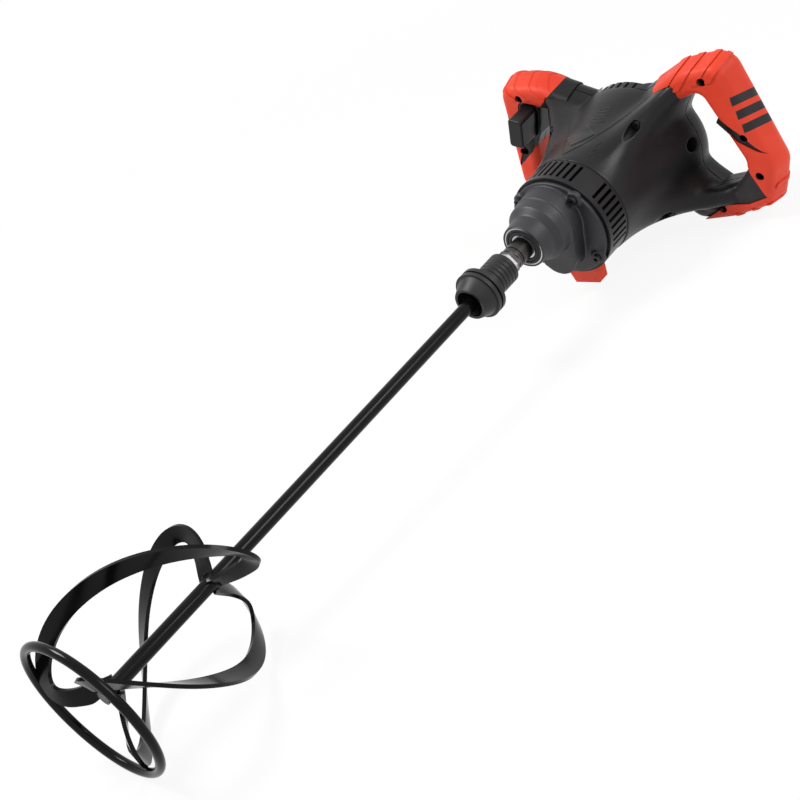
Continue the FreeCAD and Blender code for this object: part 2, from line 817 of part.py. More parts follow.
def foot():
    """A slanted block under the motor ring that keeps the machine off its cooling slots."""
    start = flange_front + foot_start_inset
    end = start + foot_length
    top = motor_height - motor_ring_radius / 2
    low = -foot_drop
    upper = [vec(-foot_half_width, start, top), vec(foot_half_width, start, top),
             vec(foot_half_width, end, top), vec(-foot_half_width, end, top)]
    toe_start, toe_end = start + foot_slant, end - foot_slant
    lower = [vec(-foot_toe_half_width, toe_start, low), vec(foot_toe_half_width, toe_start, low),
             vec(foot_toe_half_width, toe_end, low), vec(-foot_toe_half_width, toe_end, low)]
    rims = [Part.makePolygon(corners + corners[:1]) for corners in (upper, lower)]
    block = Part.makeLoft(rims, True, True)
    return block.cut(rod(motor_ring_radius, start - cut_overrun, end + cut_overrun, motor_height))


# Motor housing and motor


def cooling_slots():
    """Three groups of slots round the motor ring; the foot takes the place of the fourth."""
    slot = Part.makeBox(motor_ring_radius + cut_overrun, slot_length, slot_width,
                        vec(0, flange_back + slot_inset, motor_height - slot_width / 2))
    slots = []
    for group in (0, 90, 180):
        for k in range(slot_count):
            angle = group + (k - (slot_count - 1) / 2) * slot_pitch_angle
            slots.append(turned_about(slot, -angle, motor_height))
    return slots


def motor_housing():
    """A stepped tube with the slotted ring in front, screw bosses inside it and two brush ports."""
    fan_end = flange_back + fan_bore_length
    body = turned([(fan_bore_radius + seat_gap, flange_back), (motor_ring_radius, flange_back),
                   (motor_ring_radius, motor_ring_end), (motor_tube_radius, motor_ring_end),
                   (motor_tube_radius, motor_tube_end), (motor_bore_radius, motor_tube_end),
                   (motor_bore_radius, fan_end), (fan_bore_radius - plate_seat_lip, fan_end),
                   (fan_bore_radius - plate_seat_lip, plate_back),
                   (fan_bore_radius + seat_gap, plate_back)], motor_height)
    for slot in cooling_slots():
        body = body.cut(slot)
    bosses = [rod(screw_boss_radius, plate_back, motor_ring_end, height, side)
              for height, side in bolt_places()]
    body = joined([body] + bosses)
    for height, side in bolt_places():
        body = body.cut(rod(bolt_radius + moulding_gap, flange_back - cut_overrun,
                            flange_front + bolt_length + cut_overrun, height, side))
    port = Part.makeCylinder(brush_cap_radius + moulding_gap, 2 * motor_ring_radius + 2 * cut_overrun,
                             vec(-motor_ring_radius - cut_overrun, brush_place, motor_height), across)
    return body.cut(port)


def rotor_shaft():
    """The motor shaft with its pinion cut on the front end."""
    facing = -math.pi / 2 + math.pi / rotor_pinion_teeth
    pinion = spur_gear(rotor_pinion_teeth, fine_module, fine_gear_start, fine_gear_end,
                       motor_height, facing)
    front_seat = flange_back + motor_bearing_width
    rear_start = cap_start + cap_bearing_inset
    rear_end = rear_start + motor_bearing_width
    neck = fine_module * (rotor_pinion_teeth / 2 - dedendum_share)
    profile = [(0, fine_gear_end), (neck, fine_gear_end), (neck, flange_back),
               (rotor_journal_radius, flange_back), (rotor_journal_radius, front_seat),
               (rotor_shaft_radius, front_seat), (rotor_shaft_radius, rear_start),
               (rotor_journal_radius, rear_start), (rotor_journal_radius, rear_end), (0, rear_end)]
    return joined([turned(profile, motor_height), pinion])


def rotor_core():
    core = tube(core_radius, rotor_shaft_radius + seat_gap, core_start, core_end, motor_height)
    slot = Part.makeBox(core_slot_depth + cut_overrun, core_length + 2 * cut_overrun, core_slot_width,
                        vec(core_radius - core_slot_depth, core_start - cut_overrun,
                            motor_height - core_slot_width / 2))
    for cut in around(slot, core_slot_count, motor_height):
        core = core.cut(cut)
    return core


def rotor_winding():
    """The wound ends of the rotor: a rounded hump at each face of the core."""
    inner = rotor_shaft_radius + seat_gap
    humps = []
    for face, way in ((core_start, -1), (core_end, 1)):
        near = face + way * seat_gap
        far = face + way * winding_length
        mid = face + way * winding_length / 2
        humps.append(turned([(inner, near), (winding_radius, near), (winding_radius, mid),
                             (winding_radius * 3 / 4, far), (inner, far)], motor_height))
    return Part.makeCompound(humps)


def commutator():
    start = brush_place - commutator_length / 2
    drum = tube(commutator_radius, rotor_shaft_radius + seat_gap, start, start + commutator_length,
                motor_height)
    slit = Part.makeBox(commutator_slit * 2, commutator_length + 2 * cut_overrun, commutator_slit,
                        vec(commutator_radius - commutator_slit, start - cut_overrun,
                            motor_height - commutator_slit / 2))
    for cut in around(slit, commutator_bars, motor_height):
        drum = drum.cut(cut)
    return drum


def fan():
    """A radial fan: hub, back plate and flat blades."""
    start = plate_back + fan_inset
    end = start + fan_width
    hub = rod(fan_hub_radius, start, end, motor_height)
    plate = rod(fan_radius, end - fan_plate, end, motor_height)
    vane = Part.makeBox(fan_radius - fan_hub_radius / 2, fan_width, fan_blade_thickness,
                        vec(fan_hub_radius / 2, start, motor_height - fan_blade_thickness / 2))
    wheel = joined([hub, plate] + around(vane, fan_blade_count, motor_height))
    bore = rod(rotor_shaft_radius + seat_gap, start - cut_overrun, end + cut_overrun, motor_height)
    return wheel.cut(bore)


def motor_bearing(start):
    return tube(motor_bearing_radius, rotor_journal_radius + running_gap, start,
                start + motor_bearing_width, motor_height)


def sector(radius, start, end, half_angle, middle_angle):
    """A wedge about the motor axis, as wide as twice its half angle."""
    wedge = Part.makeCylinder(radius, end - start, vec(0, start, motor_height), along, 2 * half_angle)
    centre = wedge.CenterOfMass
    angle_now = math.degrees(math.atan2(centre.z - motor_height, centre.x))
    return turned_about(wedge, angle_now - middle_angle, motor_height)


def stator_core():
    outer = motor_bore_radius - seat_gap
    yoke = tube(outer, outer - stator_yoke, core_start, core_end, motor_height)
    bore = rod(core_radius + air_gap, core_start - cut_overrun, core_end + cut_overrun, motor_height)
    poles = [sector(outer - stator_yoke / 2, core_start, core_end, pole_half_angle, angle).cut(bore)
             for angle in (0, 180)]
    return joined([yoke] + poles)


def field_coils():
    """Two bundles of winding that lie between the poles and stand out past the core."""
    outer = motor_bore_radius - stator_yoke - coil_gap
    inner = core_radius + air_gap + coil_gap
    start, end = core_start - coil_overhang, core_end + coil_overhang
    bore = rod(inner, start - cut_overrun, end + cut_overrun, motor_height)
    bundles = [sector(outer, start, end, coil_half_angle, angle) for angle in (90, 270)]
    return Part.makeCompound([bundle.cut(bore) for bundle in bundles])


def brush_box(width, start, end):
    corner = vec(start, brush_place - width / 2, motor_height - width / 2)
    return Part.makeBox(end - start, width, width, corner)


def brush_end():
    return commutator_radius + brush_gap + brush_length


def brush_port_end():
    return motor_tube_radius + brush_cap_inset


def both_sides(shape):
    return Part.makeCompound([shape, mirrored(shape)])


def brushes():
    return both_sides(brush_box(brush_width, commutator_radius + brush_gap, brush_end()))


def brush_holders():
    """Square brass guides that reach from the commutator to the caps."""
    inner = brush_width + 2 * running_gap
    start = commutator_radius + brush_gap + brush_length / 4
    end = brush_port_end() - moulding_gap
    guide = brush_box(inner + 2 * brush_holder_wall, start, end)
    return both_sides(guide.cut(brush_box(inner, start - cut_overrun, end + cut_overrun)))


def brush_springs():
    start = brush_end() + moulding_gap
    end = brush_port_end() - moulding_gap
    spring = coil(brush_width / 2 - brush_spring_wire, brush_spring_wire, brush_spring_turns, start, end)
    spring.rotate(vec(0, 0, 0), vec(0, 0, 1), -90)
    spring.translate(vec(0, brush_place, motor_height))
    return both_sides(spring)


def brush_caps():
    cap = Part.makeCylinder(brush_cap_radius, brush_cap_length,
                            vec(brush_port_end(), brush_place, motor_height), across)
    slit_floor = brush_port_end() + brush_cap_length - socket_depth
    slit = Part.makeBox(brush_cap_length, 2 * brush_cap_radius, socket_depth,
                        vec(slit_floor, brush_place - brush_cap_radius, motor_height - socket_depth / 2))
    return both_sides(cap.cut(slit))


# Body shell and handles


def shell_section(place, top, side, arm, spread, arm_angle):
    """A closed curve: an oval about the motor axis with a swell at each of the four arms."""
    points = []
    for k in range(shell_points):
        angle = 360 * k / shell_points
        swell = 0.0
        for centre in (arm_angle, 180 - arm_angle, 180 + arm_angle, 360 - arm_angle):
            away = (angle - centre + 180) % 360 - 180
            swell += math.exp(-(away / spread) ** 2)
        turn = math.radians(angle)
        valley = top + (side - top) * math.cos(turn) ** 2
        radius = valley + (arm - valley) * min(swell, 1.0)
        points.append(vec(radius * math.cos(turn), place, motor_height + radius * math.sin(turn)))
    curve = Part.BSplineCurve()
    curve.interpolate(points, PeriodicFlag=True)
    return Part.Wire(curve.toShape())


def star_body(grow):
    """The four-armed body, lofted from its mouth to the motor cap, grown or shrunk by a margin."""
    rows = zip(shell_places, shell_top_radii, shell_side_radii, shell_arm_radii, shell_arm_spreads,
               shell_arm_angles)
    sections = [shell_section(shell_start + place, top + grow, side + grow, arm + grow, spread, angle)
                for place, top, side, arm, spread, angle in rows]
    return Part.makeLoft(sections, True, False)


def upright_bar(side, place, width, length, turn):
    """A flat bar seen from above, turned in plan, that reaches from the motor axis up past the shell."""
    bar = Part.makeBox(width, length, handle_reach, vec(-width / 2, 0, motor_height))
    bar.rotate(vec(0, 0, 0), vec(0, 0, 1), turn)
    bar.translate(vec(side, place, 0))
    return bar


def shell_marks():
    """Shallow marks of even depth in the top of the shell: panel, grooves and a pair of seam lines."""
    bars = [upright_bar(panel_side, shell_start + panel_inset, panel_width, panel_length, panel_turn)]
    for k in range(groove_count):
        place = shell_start + groove_inset + k * groove_pitch
        bars.append(upright_bar(groove_side, place, groove_length, groove_width, 0))
    turn = math.degrees(math.atan2(seam_spread, seam_run))
    for way in (-1, 1):
        bars.append(upright_bar(0, shell_start + seam_inset, seam_width, seam_run, way * turn))
    return bars[0].multiFuse(bars[1:]).cut(star_body(-mark_depth))


def drawn_in(corners, inset):
    """The corners of a convex outline after each of its sides has moved in by the inset."""
    count = len(corners)
    moved = []
    for k in range(count):
        before = vec(corners[k - 1][0], 0, corners[k - 1][1])
        corner = vec(corners[k][0], 0, corners[k][1])
        after = vec(corners[(k + 1) % count][0], 0, corners[(k + 1) % count][1])
        arriving = (corner - before).normalize()
        leaving = (after - corner).normalize()
        inward = (leaving - arriving).normalize()
        point = corner + inward * (inset / math.cos(arriving.getAngle(leaving) / 2))
        moved.append((point.x, point.z))
    return moved


def lies_at(edge, place):
    first, last = edge.FirstParameter, edge.LastParameter
    points = [edge.valueAt(first + share * (last - first)) for share in (0, 1 / 2, 1)]
    return all(abs(point.y - place) < plane_slack for point in points)


def rims_at(shape, place):
    return [edge for edge in shape.Edges if lies_at(edge, place)]


def within_loop(point, box):
    return box.XMin - plane_slack < point.x < box.XMax + plane_slack and (
        box.ZMin - plane_slack < point.z < box.ZMax + plane_slack)


def handle_plate(grow):
    """The right D-handle, drawn in to the front, grown by a cover's thickness where one is given."""
    front, back = handle_front - grow, handle_back + grow
    corners = [handle_point(shares) for shares in outline_shares]
    radii = [handle_corner_radius * share + grow for share in outline_corner_shares]
    back_corners = drawn_in(corners, -grow)
    front_corners = drawn_in(corners, handle_draft - grow)
    back_wire = rounded_wire(back_corners, radii, back)
    front_wire = rounded_wire(front_corners, [radius - handle_draft for radius in radii], front)
    plate = Part.makeLoft([front_wire, back_wire], True, True)
    plate = plate.makeFillet(handle_front_edge_radius + grow, rims_at(plate, front))
    plate = plate.makeFillet(handle_back_edge_radius + grow, rims_at(plate, back))
    hole_corners = drawn_in([handle_point(shares) for shares in loop_shares], grow)
    hole = rounded_wire(hole_corners, [loop_corner_radius * share - grow for share in loop_corner_shares],
                        front - cut_overrun)
    plate = plate.cut(Part.Face(hole).extrude(along * (back - front + 2 * cut_overrun)))
    loop_rims = [edge for place in (front, back) for edge in rims_at(plate, place)
                 if within_loop(edge.CenterOfMass, hole.BoundBox)]
    return plate.makeFillet(loop_edge_radius + grow, loop_rims)


def finger_tooth():
    start = handle_front + tooth_inset
    return handle_prism(tooth_shares, start, start + tooth_depth)


def half_space(front):
    """A large block on one side of the plane where the handle halves meet."""
    width = 4 * handle_reach
    start = shell_start - cut_overrun if front else split_place
    end = split_place if front else cap_end + width
    return Part.makeBox(width, end - start, width, vec(-width / 2, start, -width / 2))


def screw_places():
    return [handle_point(shares) for shares in screw_shares]


def ridge_places():
    out = ridge_screw_radius_out * math.cos(math.radians(ridge_screw_angle))
    rise = ridge_screw_radius_out * math.sin(math.radians(ridge_screw_angle))
    return [(motor_height + z * rise, x * out) for x in (-1, 1) for z in (-1, 1)]


def trigger_block(margin, start, end):
    """A bar along the grip's lean, on the left handle, with rounded corners."""
    wide = trigger_width / 2 + margin
    long = trigger_length / 2 + margin
    corners = [(-wide, -long), (wide, -long), (wide, long), (-wide, long)]
    section = rounded_wire(corners, [trigger_corner + margin] * len(corners), 0)
    bar = Part.Face(section).extrude(along * (end - start))
    bar.rotate(vec(0, 0, 0), along, trigger_lean)
    side, height = handle_point(trigger_share)
    bar.translate(vec(-side, start, height))
    return bar


def shell_cuts():
    """The motor bore, brush ports and screw recesses shared by the front shell and the rear halves."""
    bore = rod(motor_tube_radius + shell_gap, shell_start - cut_overrun, split_place + cut_overrun,
               motor_height)
    port = Part.makeCylinder(brush_cap_radius + moulding_gap, 2 * handle_reach,
                             vec(-handle_reach, brush_place, motor_height), across)
    reach = shell_arm_radii[-1]
    port = port.common(rod(reach, shell_start, split_place, motor_height))
    cuts = [bore, port]
    for x, z in screw_places():
        for side in (-x, x):
            floor = handle_front + screw_recess_depth
            mouth = handle_front - cover_thickness - cut_overrun
            cuts.append(rod(screw_recess_radius, mouth, floor, z, side))
            cuts.append(rod(screw_shank_radius + moulding_gap, handle_front,
                            floor + screw_length + cut_overrun, z, side))
    for height, side in ridge_places():
        floor = ridge_screw_place + ridge_recess_depth
        cuts.append(rod(ridge_recess_radius, shell_start, floor, height, side))
        cuts.append(rod(screw_shank_radius + moulding_gap, floor - cut_overrun,
                        floor + screw_length + cut_overrun, height, side))
    return cuts


def trigger_tunnel():
    return trigger_block(trigger_gap, handle_front - cover_thickness - cut_overrun, split_place)


def switch_box(margin):
    """The switch behind the trigger, turned with the lean of the grip."""
    wide = switch_width / 2 + margin
    long = switch_length / 2 + margin
    start = split_place
    depth = switch_depth + margin
    box = Part.makeBox(2 * wide, depth, 2 * long, vec(-wide, 0, -long))
    box.rotate(vec(0, 0, 0), along, trigger_lean)
    side, height = handle_point(trigger_share)
    box.translate(vec(-side, start, height))
    return box


def whole_body(star, plate):
    tooth = finger_tooth()
    pod = trigger_block(pod_wall, handle_front - cover_thickness, handle_back - pod_inset)
    return star.multiFuse([plate, mirrored(plate), tooth, mirrored(tooth), pod])


def front_shell(body, cuts):
    """The front moulding with its bore, ports, recesses, trigger tunnel and the marks on its top."""
    shell = body.common(half_space(True))
    return shell.cut(cuts[0].multiFuse(cuts[1:] + [trigger_tunnel()])).cut(shell_marks())


def side_block(way):
    """The space to one side of the body, where the front halves of a handle lie."""
    near = front_half_side_share * handle_reach
    far = 2 * handle_reach
    block = Part.makeBox(far - near, cap_end - shell_start, 2 * far, vec(near, shell_start, -far))
    return block if way > 0 else mirrored(block)


def arm_insert_block():
    """The dark wedge let into the front of the lower arm beside the loop."""
    return handle_prism(insert_shares, handle_front - cut_overrun, handle_front + insert_depth)


def handle_back_pair(body, cuts):
    """The rear halves of the two handles, clear of the motor cap between them."""
    rear = body.common(half_space(False))
    room = rod(cap_radius + cap_room_gap, split_place - cut_overrun, cap_end + cut_overrun, motor_height)
    rear = rear.cut(room.multiFuse(cuts[2:] + [switch_box(moulding_gap)]))
    right = [solid for solid in rear.Solids if solid.CenterOfMass.x > 0]
    left = [solid for solid in rear.Solids if solid.CenterOfMass.x < 0]
    return max(right, key=lambda solid: solid.Volume), max(left, key=lambda solid: solid.Volume)


def stripe_bands(start, end):
    """Slanted bands round the outer side of the right grip."""
    inner = handle_point(stripe_start_share)
    outer = handle_point(stripe_end_share)
    depth = end - start
    bands = []
    for k in range(stripe_count):
        drop = k * stripe_pitch
        lean = drop * stripe_lean_share
        low_in = vec(inner[0] + lean, start, inner[1] - drop - stripe_width / 2)
        high_in = vec(inner[0] + lean, start, inner[1] - drop + stripe_width / 2)
        low_out = vec(outer[0] + lean, start, outer[1] - drop - stripe_width / 2)
        high_out = vec(outer[0] + lean, start, outer[1] - drop + stripe_width / 2)
        face = Part.Face(Part.makePolygon([low_in, low_out, high_out, high_in, low_in]))
        bands.append(face.extrude(vec(0, depth, -depth * stripe_fall_share)))
    return bands


def ribs(places_shares, angles, region_shares, start, end):
    """Slanted bars through the handle, kept to one region of it."""
    bars = []
    for shares, angle in zip(places_shares, angles):
        bar = Part.makeBox(rib_length, end - start, rib_width, vec(-rib_length / 2, 0, -rib_width / 2))
        bar.rotate(vec(0, 0, 0), along, -angle)
        side, height = handle_point(shares)
        bar.translate(vec(side, start, height))
        bars.append(bar)
    return bars[0].multiFuse(bars[1:]).common(handle_prism(region_shares, start, end))


def grip_skin():
    """The soft layer over the right handle: the grown handle, with raised ribs, less the handle itself."""
    start, end = handle_front - 3 * cover_thickness, handle_back + 3 * cover_thickness
    upper = ribs(upper_rib_places_shares, [upper_rib_angle] * len(upper_rib_places_shares),
                 upper_rib_region_shares, start, end)
    lower = ribs(lower_rib_places_shares, lower_rib_angles, lower_rib_region_shares, start, end)
    raised = handle_plate(cover_thickness + rib_rise).common(upper.fuse(lower))
    grown = handle_plate(cover_thickness).fuse(raised)
    region = handle_prism(cover_region_shares, start, end)
    spear = handle_prism(spear_shares, start, split_place)
    inside = [handle_plate(cover_gap), star_body(cover_gap), spear, finger_tooth()]
    skin = grown.common(region)
    for solid in inside:
        skin = skin.cut(solid)
    return skin


def main_solid(shape):
    """The largest solid and any other of fair size, without slivers."""
    largest = max(solid.Volume for solid in shape.Solids)
    kept = [solid for solid in shape.Solids if solid.Volume > largest / 50]
    return kept[0] if len(kept) == 1 else Part.makeCompound(kept)


def handle_screws():
    floor = handle_front + screw_recess_depth
    screws = []
    for x, z in screw_places():
        for side in (-x, x):
            screws.append(screw(screw_head_radius, screw_head_height, screw_shank_radius, screw_length,
                                floor, z, side))
    return Part.makeCompound(screws)


def ridge_screws():
    floor = ridge_screw_place + ridge_recess_depth
    return Part.makeCompound([screw(screw_head_radius, screw_head_height, screw_shank_radius, screw_length,
                                    floor, height, side) for height, side in ridge_places()])


# Trigger group


def trigger():
    """A finger bar that stands out of the left grip towards the paddle."""
    start = handle_front - trigger_projection
    bar = trigger_block(0, start, handle_front + trigger_inset)
    front_edges = [edge for edge in bar.Edges if abs(edge.CenterOfMass.y - start) < plane_slack]
    return bar.makeFillet(trigger_corner / 2, front_edges)


def trigger_spring():
    side, height = handle_point(trigger_share)
    start = handle_front + trigger_inset + moulding_gap
    end = split_place - moulding_gap
    return coil(trigger_spring_radius, trigger_spring_wire, trigger_spring_turns, start, end, height, -side)


# Motor cap, cable inlet


def motor_cap():
    """A domed cup with ribs round its edge and a seat for the rear bearing."""
    wall_end = cap_end - cap_wall
    straight_end = cap_start + cap_straight
    cup = turned([(cap_radius - cap_wall, cap_start), (cap_radius, cap_start), (cap_radius, straight_end),
                  (cap_end_radius, cap_end), (0, cap_end), (0, wall_end),
                  (cap_end_radius - cap_wall, wall_end), (cap_radius - cap_wall, straight_end)], motor_height)
    seat_start = cap_start + cap_bearing_inset
    boss = rod(motor_bearing_radius + cap_wall, seat_start, wall_end, motor_height)
    cup = joined([cup, boss])
    seat_end = seat_start + motor_bearing_width
    cup = cup.cut(rod(motor_bearing_radius + seat_gap, seat_start - cut_overrun, seat_end, motor_height))
    cup = cup.cut(rod(rotor_shaft_radius, seat_start, seat_end + cut_overrun, motor_height))
    gap_corner = vec(cap_radius - cap_rib_depth, cap_start - cut_overrun, motor_height - cap_rib_gap / 2)
    gap = Part.makeBox(cap_rib_depth * 2, cap_length + 2 * cut_overrun, cap_rib_gap, gap_corner)
    gaps = around(gap, cap_rib_count, motor_height)
    return cup.cut(gaps[0].multiFuse(gaps[1:]))


def cable_inlet():
    """A short rubber-lined collar behind the left handle where a mains lead enters."""
    side, height = handle_point(inlet_share)
    return tube(inlet_radius, inlet_bore_radius, handle_back, handle_back + inlet_length, height, -side)


# Assembly of the pieces

ring = Part.makeTorus(ring_radius, ring_rod_radius, vec(0, 0, 0), along)
shaft = paddle_shaft()
first_blade = blade(ring, shaft)
star = star_body(0)
plate = handle_plate(0)
body = whole_body(star, plate)
cuts = shell_cuts()
insert_block = arm_insert_block()
front = main_solid(front_shell(body, cuts))
inserts = front.common(both_sides(insert_block))
front = front.cut(insert_block).cut(mirrored(insert_block))
back_right, back_left = handle_back_pair(body, cuts)
skin = grip_skin()
bands = stripe_bands(handle_front - 3 * cover_thickness, handle_back + 3 * cover_thickness)
inlay = skin.common(bands[0].multiFuse(bands[1:]))
skin = skin.cut(bands[0].multiFuse(bands[1:]))
recesses = cuts[2].multiFuse(cuts[3:])
skin_right = skin.cut(recesses)
window = trigger_block(pod_wall + window_gap, handle_front - cover_thickness - cut_overrun, handle_back)
skin_left = mirrored(skin).cut(recesses).cut(window)
inlet_side, inlet_height = handle_point(inlet_share)
inlet_hole = rod(inlet_radius + window_gap, split_place, handle_back + inlet_length, inlet_height,
                 -inlet_side)

pieces = {
    "paddle_shaft": shaft,
    "paddle_ring": ring,
    "coupling_sleeve": coupling_sleeve(),
    "coupling_body": coupling_body(),
    "coupling_circlip": coupling_circlip(),
    "coupling_spring": coupling_spring(),
    "locking_balls": locking_balls(),
    "output_spindle": output_spindle(),
    "front_bearing_inner": front_bearing_inner(),
    "front_bearing_outer": front_bearing_outer(),
    "front_bearing_seal": front_bearing_seal(),
    "front_bearing_balls": front_bearing_balls(),
    "spindle_bush": spindle_bush(),
    "output_gear": output_gear(),
    "intermediate_shaft": intermediate_shaft(),
    "intermediate_gear": intermediate_gear(),
    "intermediate_bushes": intermediate_bushes(),
    "gearbox_housing": gearbox_housing(),
    "gearbox_plate": gearbox_plate(),
    "gearbox_screws": gearbox_screws(),
    "foot": foot(),
    "motor_housing": motor_housing(),
    "rotor_shaft": rotor_shaft(),
    "rotor_core": rotor_core(),
    "rotor_winding": rotor_winding(),
    "commutator": commutator(),
    "fan": fan(),
    "motor_front_bearing": motor_bearing(flange_back),
    "motor_rear_bearing": motor_bearing(cap_start + cap_bearing_inset),
    "stator_core": stator_core(),
    "field_coils": field_coils(),
    "brushes": brushes(),
    "brush_holders": brush_holders(),
    "brush_springs": brush_springs(),
    "brush_caps": brush_caps(),
    "housing_front": main_solid(front.cut(side_block(1)).cut(side_block(-1))),
    "handle_front_right": main_solid(front.common(side_block(1))),
    "handle_front_left": main_solid(front.common(side_block(-1))),
    "arm_inserts": inserts,
    "handle_back_right": back_right,
    "handle_back_left": back_left,
    "grip_front_right": main_solid(skin_right.common(half_space(True))),
    "grip_front_left": main_solid(skin_left.common(half_space(True))),
    "grip_back_right": main_solid(skin.common(half_space(False))),
    "grip_back_left": main_solid(mirrored(skin).common(half_space(False)).cut(window).cut(inlet_hole)),
    "stripe_inlays": both_sides(inlay),
    "handle_screws": handle_screws(),
    "ridge_screws": ridge_screws(),
    "trigger": trigger(),
    "trigger_spring": trigger_spring(),
    "switch": switch_box(0),
    "motor_cap": motor_cap(),
    "cable_inlet": cable_inlet(),
}
for number, strip in enumerate(around(first_blade, blade_count), 1):
    pieces["paddle_blade_%d" % number] = strip

# The machine lies on its paddle and on the handles' lower edges, so its spindle rises a little to the motor


def lowest(points, angle):
    rise = math.sin(math.radians(angle))
    level = math.cos(math.radians(angle))
    return min(point.y * rise + point.z * level for point in points)


def surface_points(shapes):
    return [point for shape in shapes for point in shape.tessellate(moulding_gap)[0]]


def pieces_named(starts):
    return [shape for name, shape in pieces.items() if name.startswith(starts)]


def resting_tilt():
    """The angle at which the paddle and the handles reach down equally far."""
    paddle = surface_points([ring] + pieces_named("paddle_blade"))
    handles = surface_points(pieces_named(("grip", "handle_back")))
    level, steep = 0.0, largest_tilt
    for trial in range(tilt_rounds):
        middle = (level + steep) / 2
        if lowest(handles, middle) < lowest(paddle, middle):
            level = middle
        else:
            steep = middle
    return (level + steep) / 2


tilt = resting_tilt()


def laid(shape):
    copy = shape.copy()
    copy.rotate(vec(0, 0, 0), across, tilt)
    return copy


laid_pieces = {name: laid(shape) for name, shape in pieces.items()}
box = Part.makeCompound(list(laid_pieces.values())).optimalBoundingBox(False, False)
shift = vec(-box.Center.x, -box.Center.y, -box.ZMin)

os.makedirs("parts", exist_ok=True)
for name, shape in laid_pieces.items():
    shape.translate(shift)
    shape.exportStep("parts/%s.step" % name)
print("size", box.XLength, box.YLength, box.ZLength, "tilt", tilt, "shift", shift)
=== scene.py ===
import json
import math

import bmesh
import bpy
import numpy as np
from mathutils import Matrix
from mathutils.bvhtree import BVHTree


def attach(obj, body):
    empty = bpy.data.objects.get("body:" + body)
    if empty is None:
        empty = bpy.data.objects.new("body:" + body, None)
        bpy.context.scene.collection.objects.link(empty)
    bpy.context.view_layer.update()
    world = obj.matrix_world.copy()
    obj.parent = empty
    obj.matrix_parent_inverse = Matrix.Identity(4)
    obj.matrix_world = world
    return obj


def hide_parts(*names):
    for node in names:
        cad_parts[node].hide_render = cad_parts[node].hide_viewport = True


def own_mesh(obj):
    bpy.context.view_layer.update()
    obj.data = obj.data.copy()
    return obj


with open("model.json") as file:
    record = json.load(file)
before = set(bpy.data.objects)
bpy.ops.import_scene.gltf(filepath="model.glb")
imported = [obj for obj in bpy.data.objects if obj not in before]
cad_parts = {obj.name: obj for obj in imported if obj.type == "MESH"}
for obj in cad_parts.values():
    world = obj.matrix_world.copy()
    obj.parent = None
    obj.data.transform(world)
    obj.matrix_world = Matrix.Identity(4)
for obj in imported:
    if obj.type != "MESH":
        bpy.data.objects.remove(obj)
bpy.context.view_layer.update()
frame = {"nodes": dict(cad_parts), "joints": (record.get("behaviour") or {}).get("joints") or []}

# Machine axes
# The drill is measured in millimetres from the centre of the paddle ring: X towards the
# right handle, Y up the shaft to the motor cap, Z away from the floor it lies on.
spindle_joint = next(j for j in frame["joints"] if j["name"] == "spindle_spin")
shaft_way = np.array(spindle_joint["axis"])
right_way = np.array([1.0, 0.0, 0.0])
upper_way = np.cross(right_way, shaft_way)
machine_ways = np.stack([right_way, shaft_way, upper_way])
bearing_reach = 596.4
millimetre = 0.001
ring_centre = np.array(spindle_joint["pos_m"]) - shaft_way * bearing_reach * millimetre


def laid(points):
    """Machine millimetres to metres as the drill lies: each way times its share, from the ring centre."""
    return ring_centre + np.asarray(points, float) @ machine_ways * millimetre


def measured(points):
    """Metres as the drill lies back to machine millimetres: the reach from the ring centre along each way."""
    return (np.asarray(points, float) - ring_centre) / millimetre @ machine_ways.T


# Paddle
# A steel shaft, a ring of round bar and three rolled helical strips, welded together
# and dipped in black gloss paint.


def byte_colour(red, green, blue):
    """A colour as eyes see it (0 to 255) turned into light values by the sRGB curve: a straight slope
    up to a knee and a power past it."""
    knee, slope, offset, power = 0.04045, 12.92, 0.055, 2.4
    eye = np.array([red, green, blue]) / 255
    light = np.where(eye <= knee, eye / slope, ((eye + offset) / (1 + offset)) ** power)
    return (*light.tolist(), 1.0)


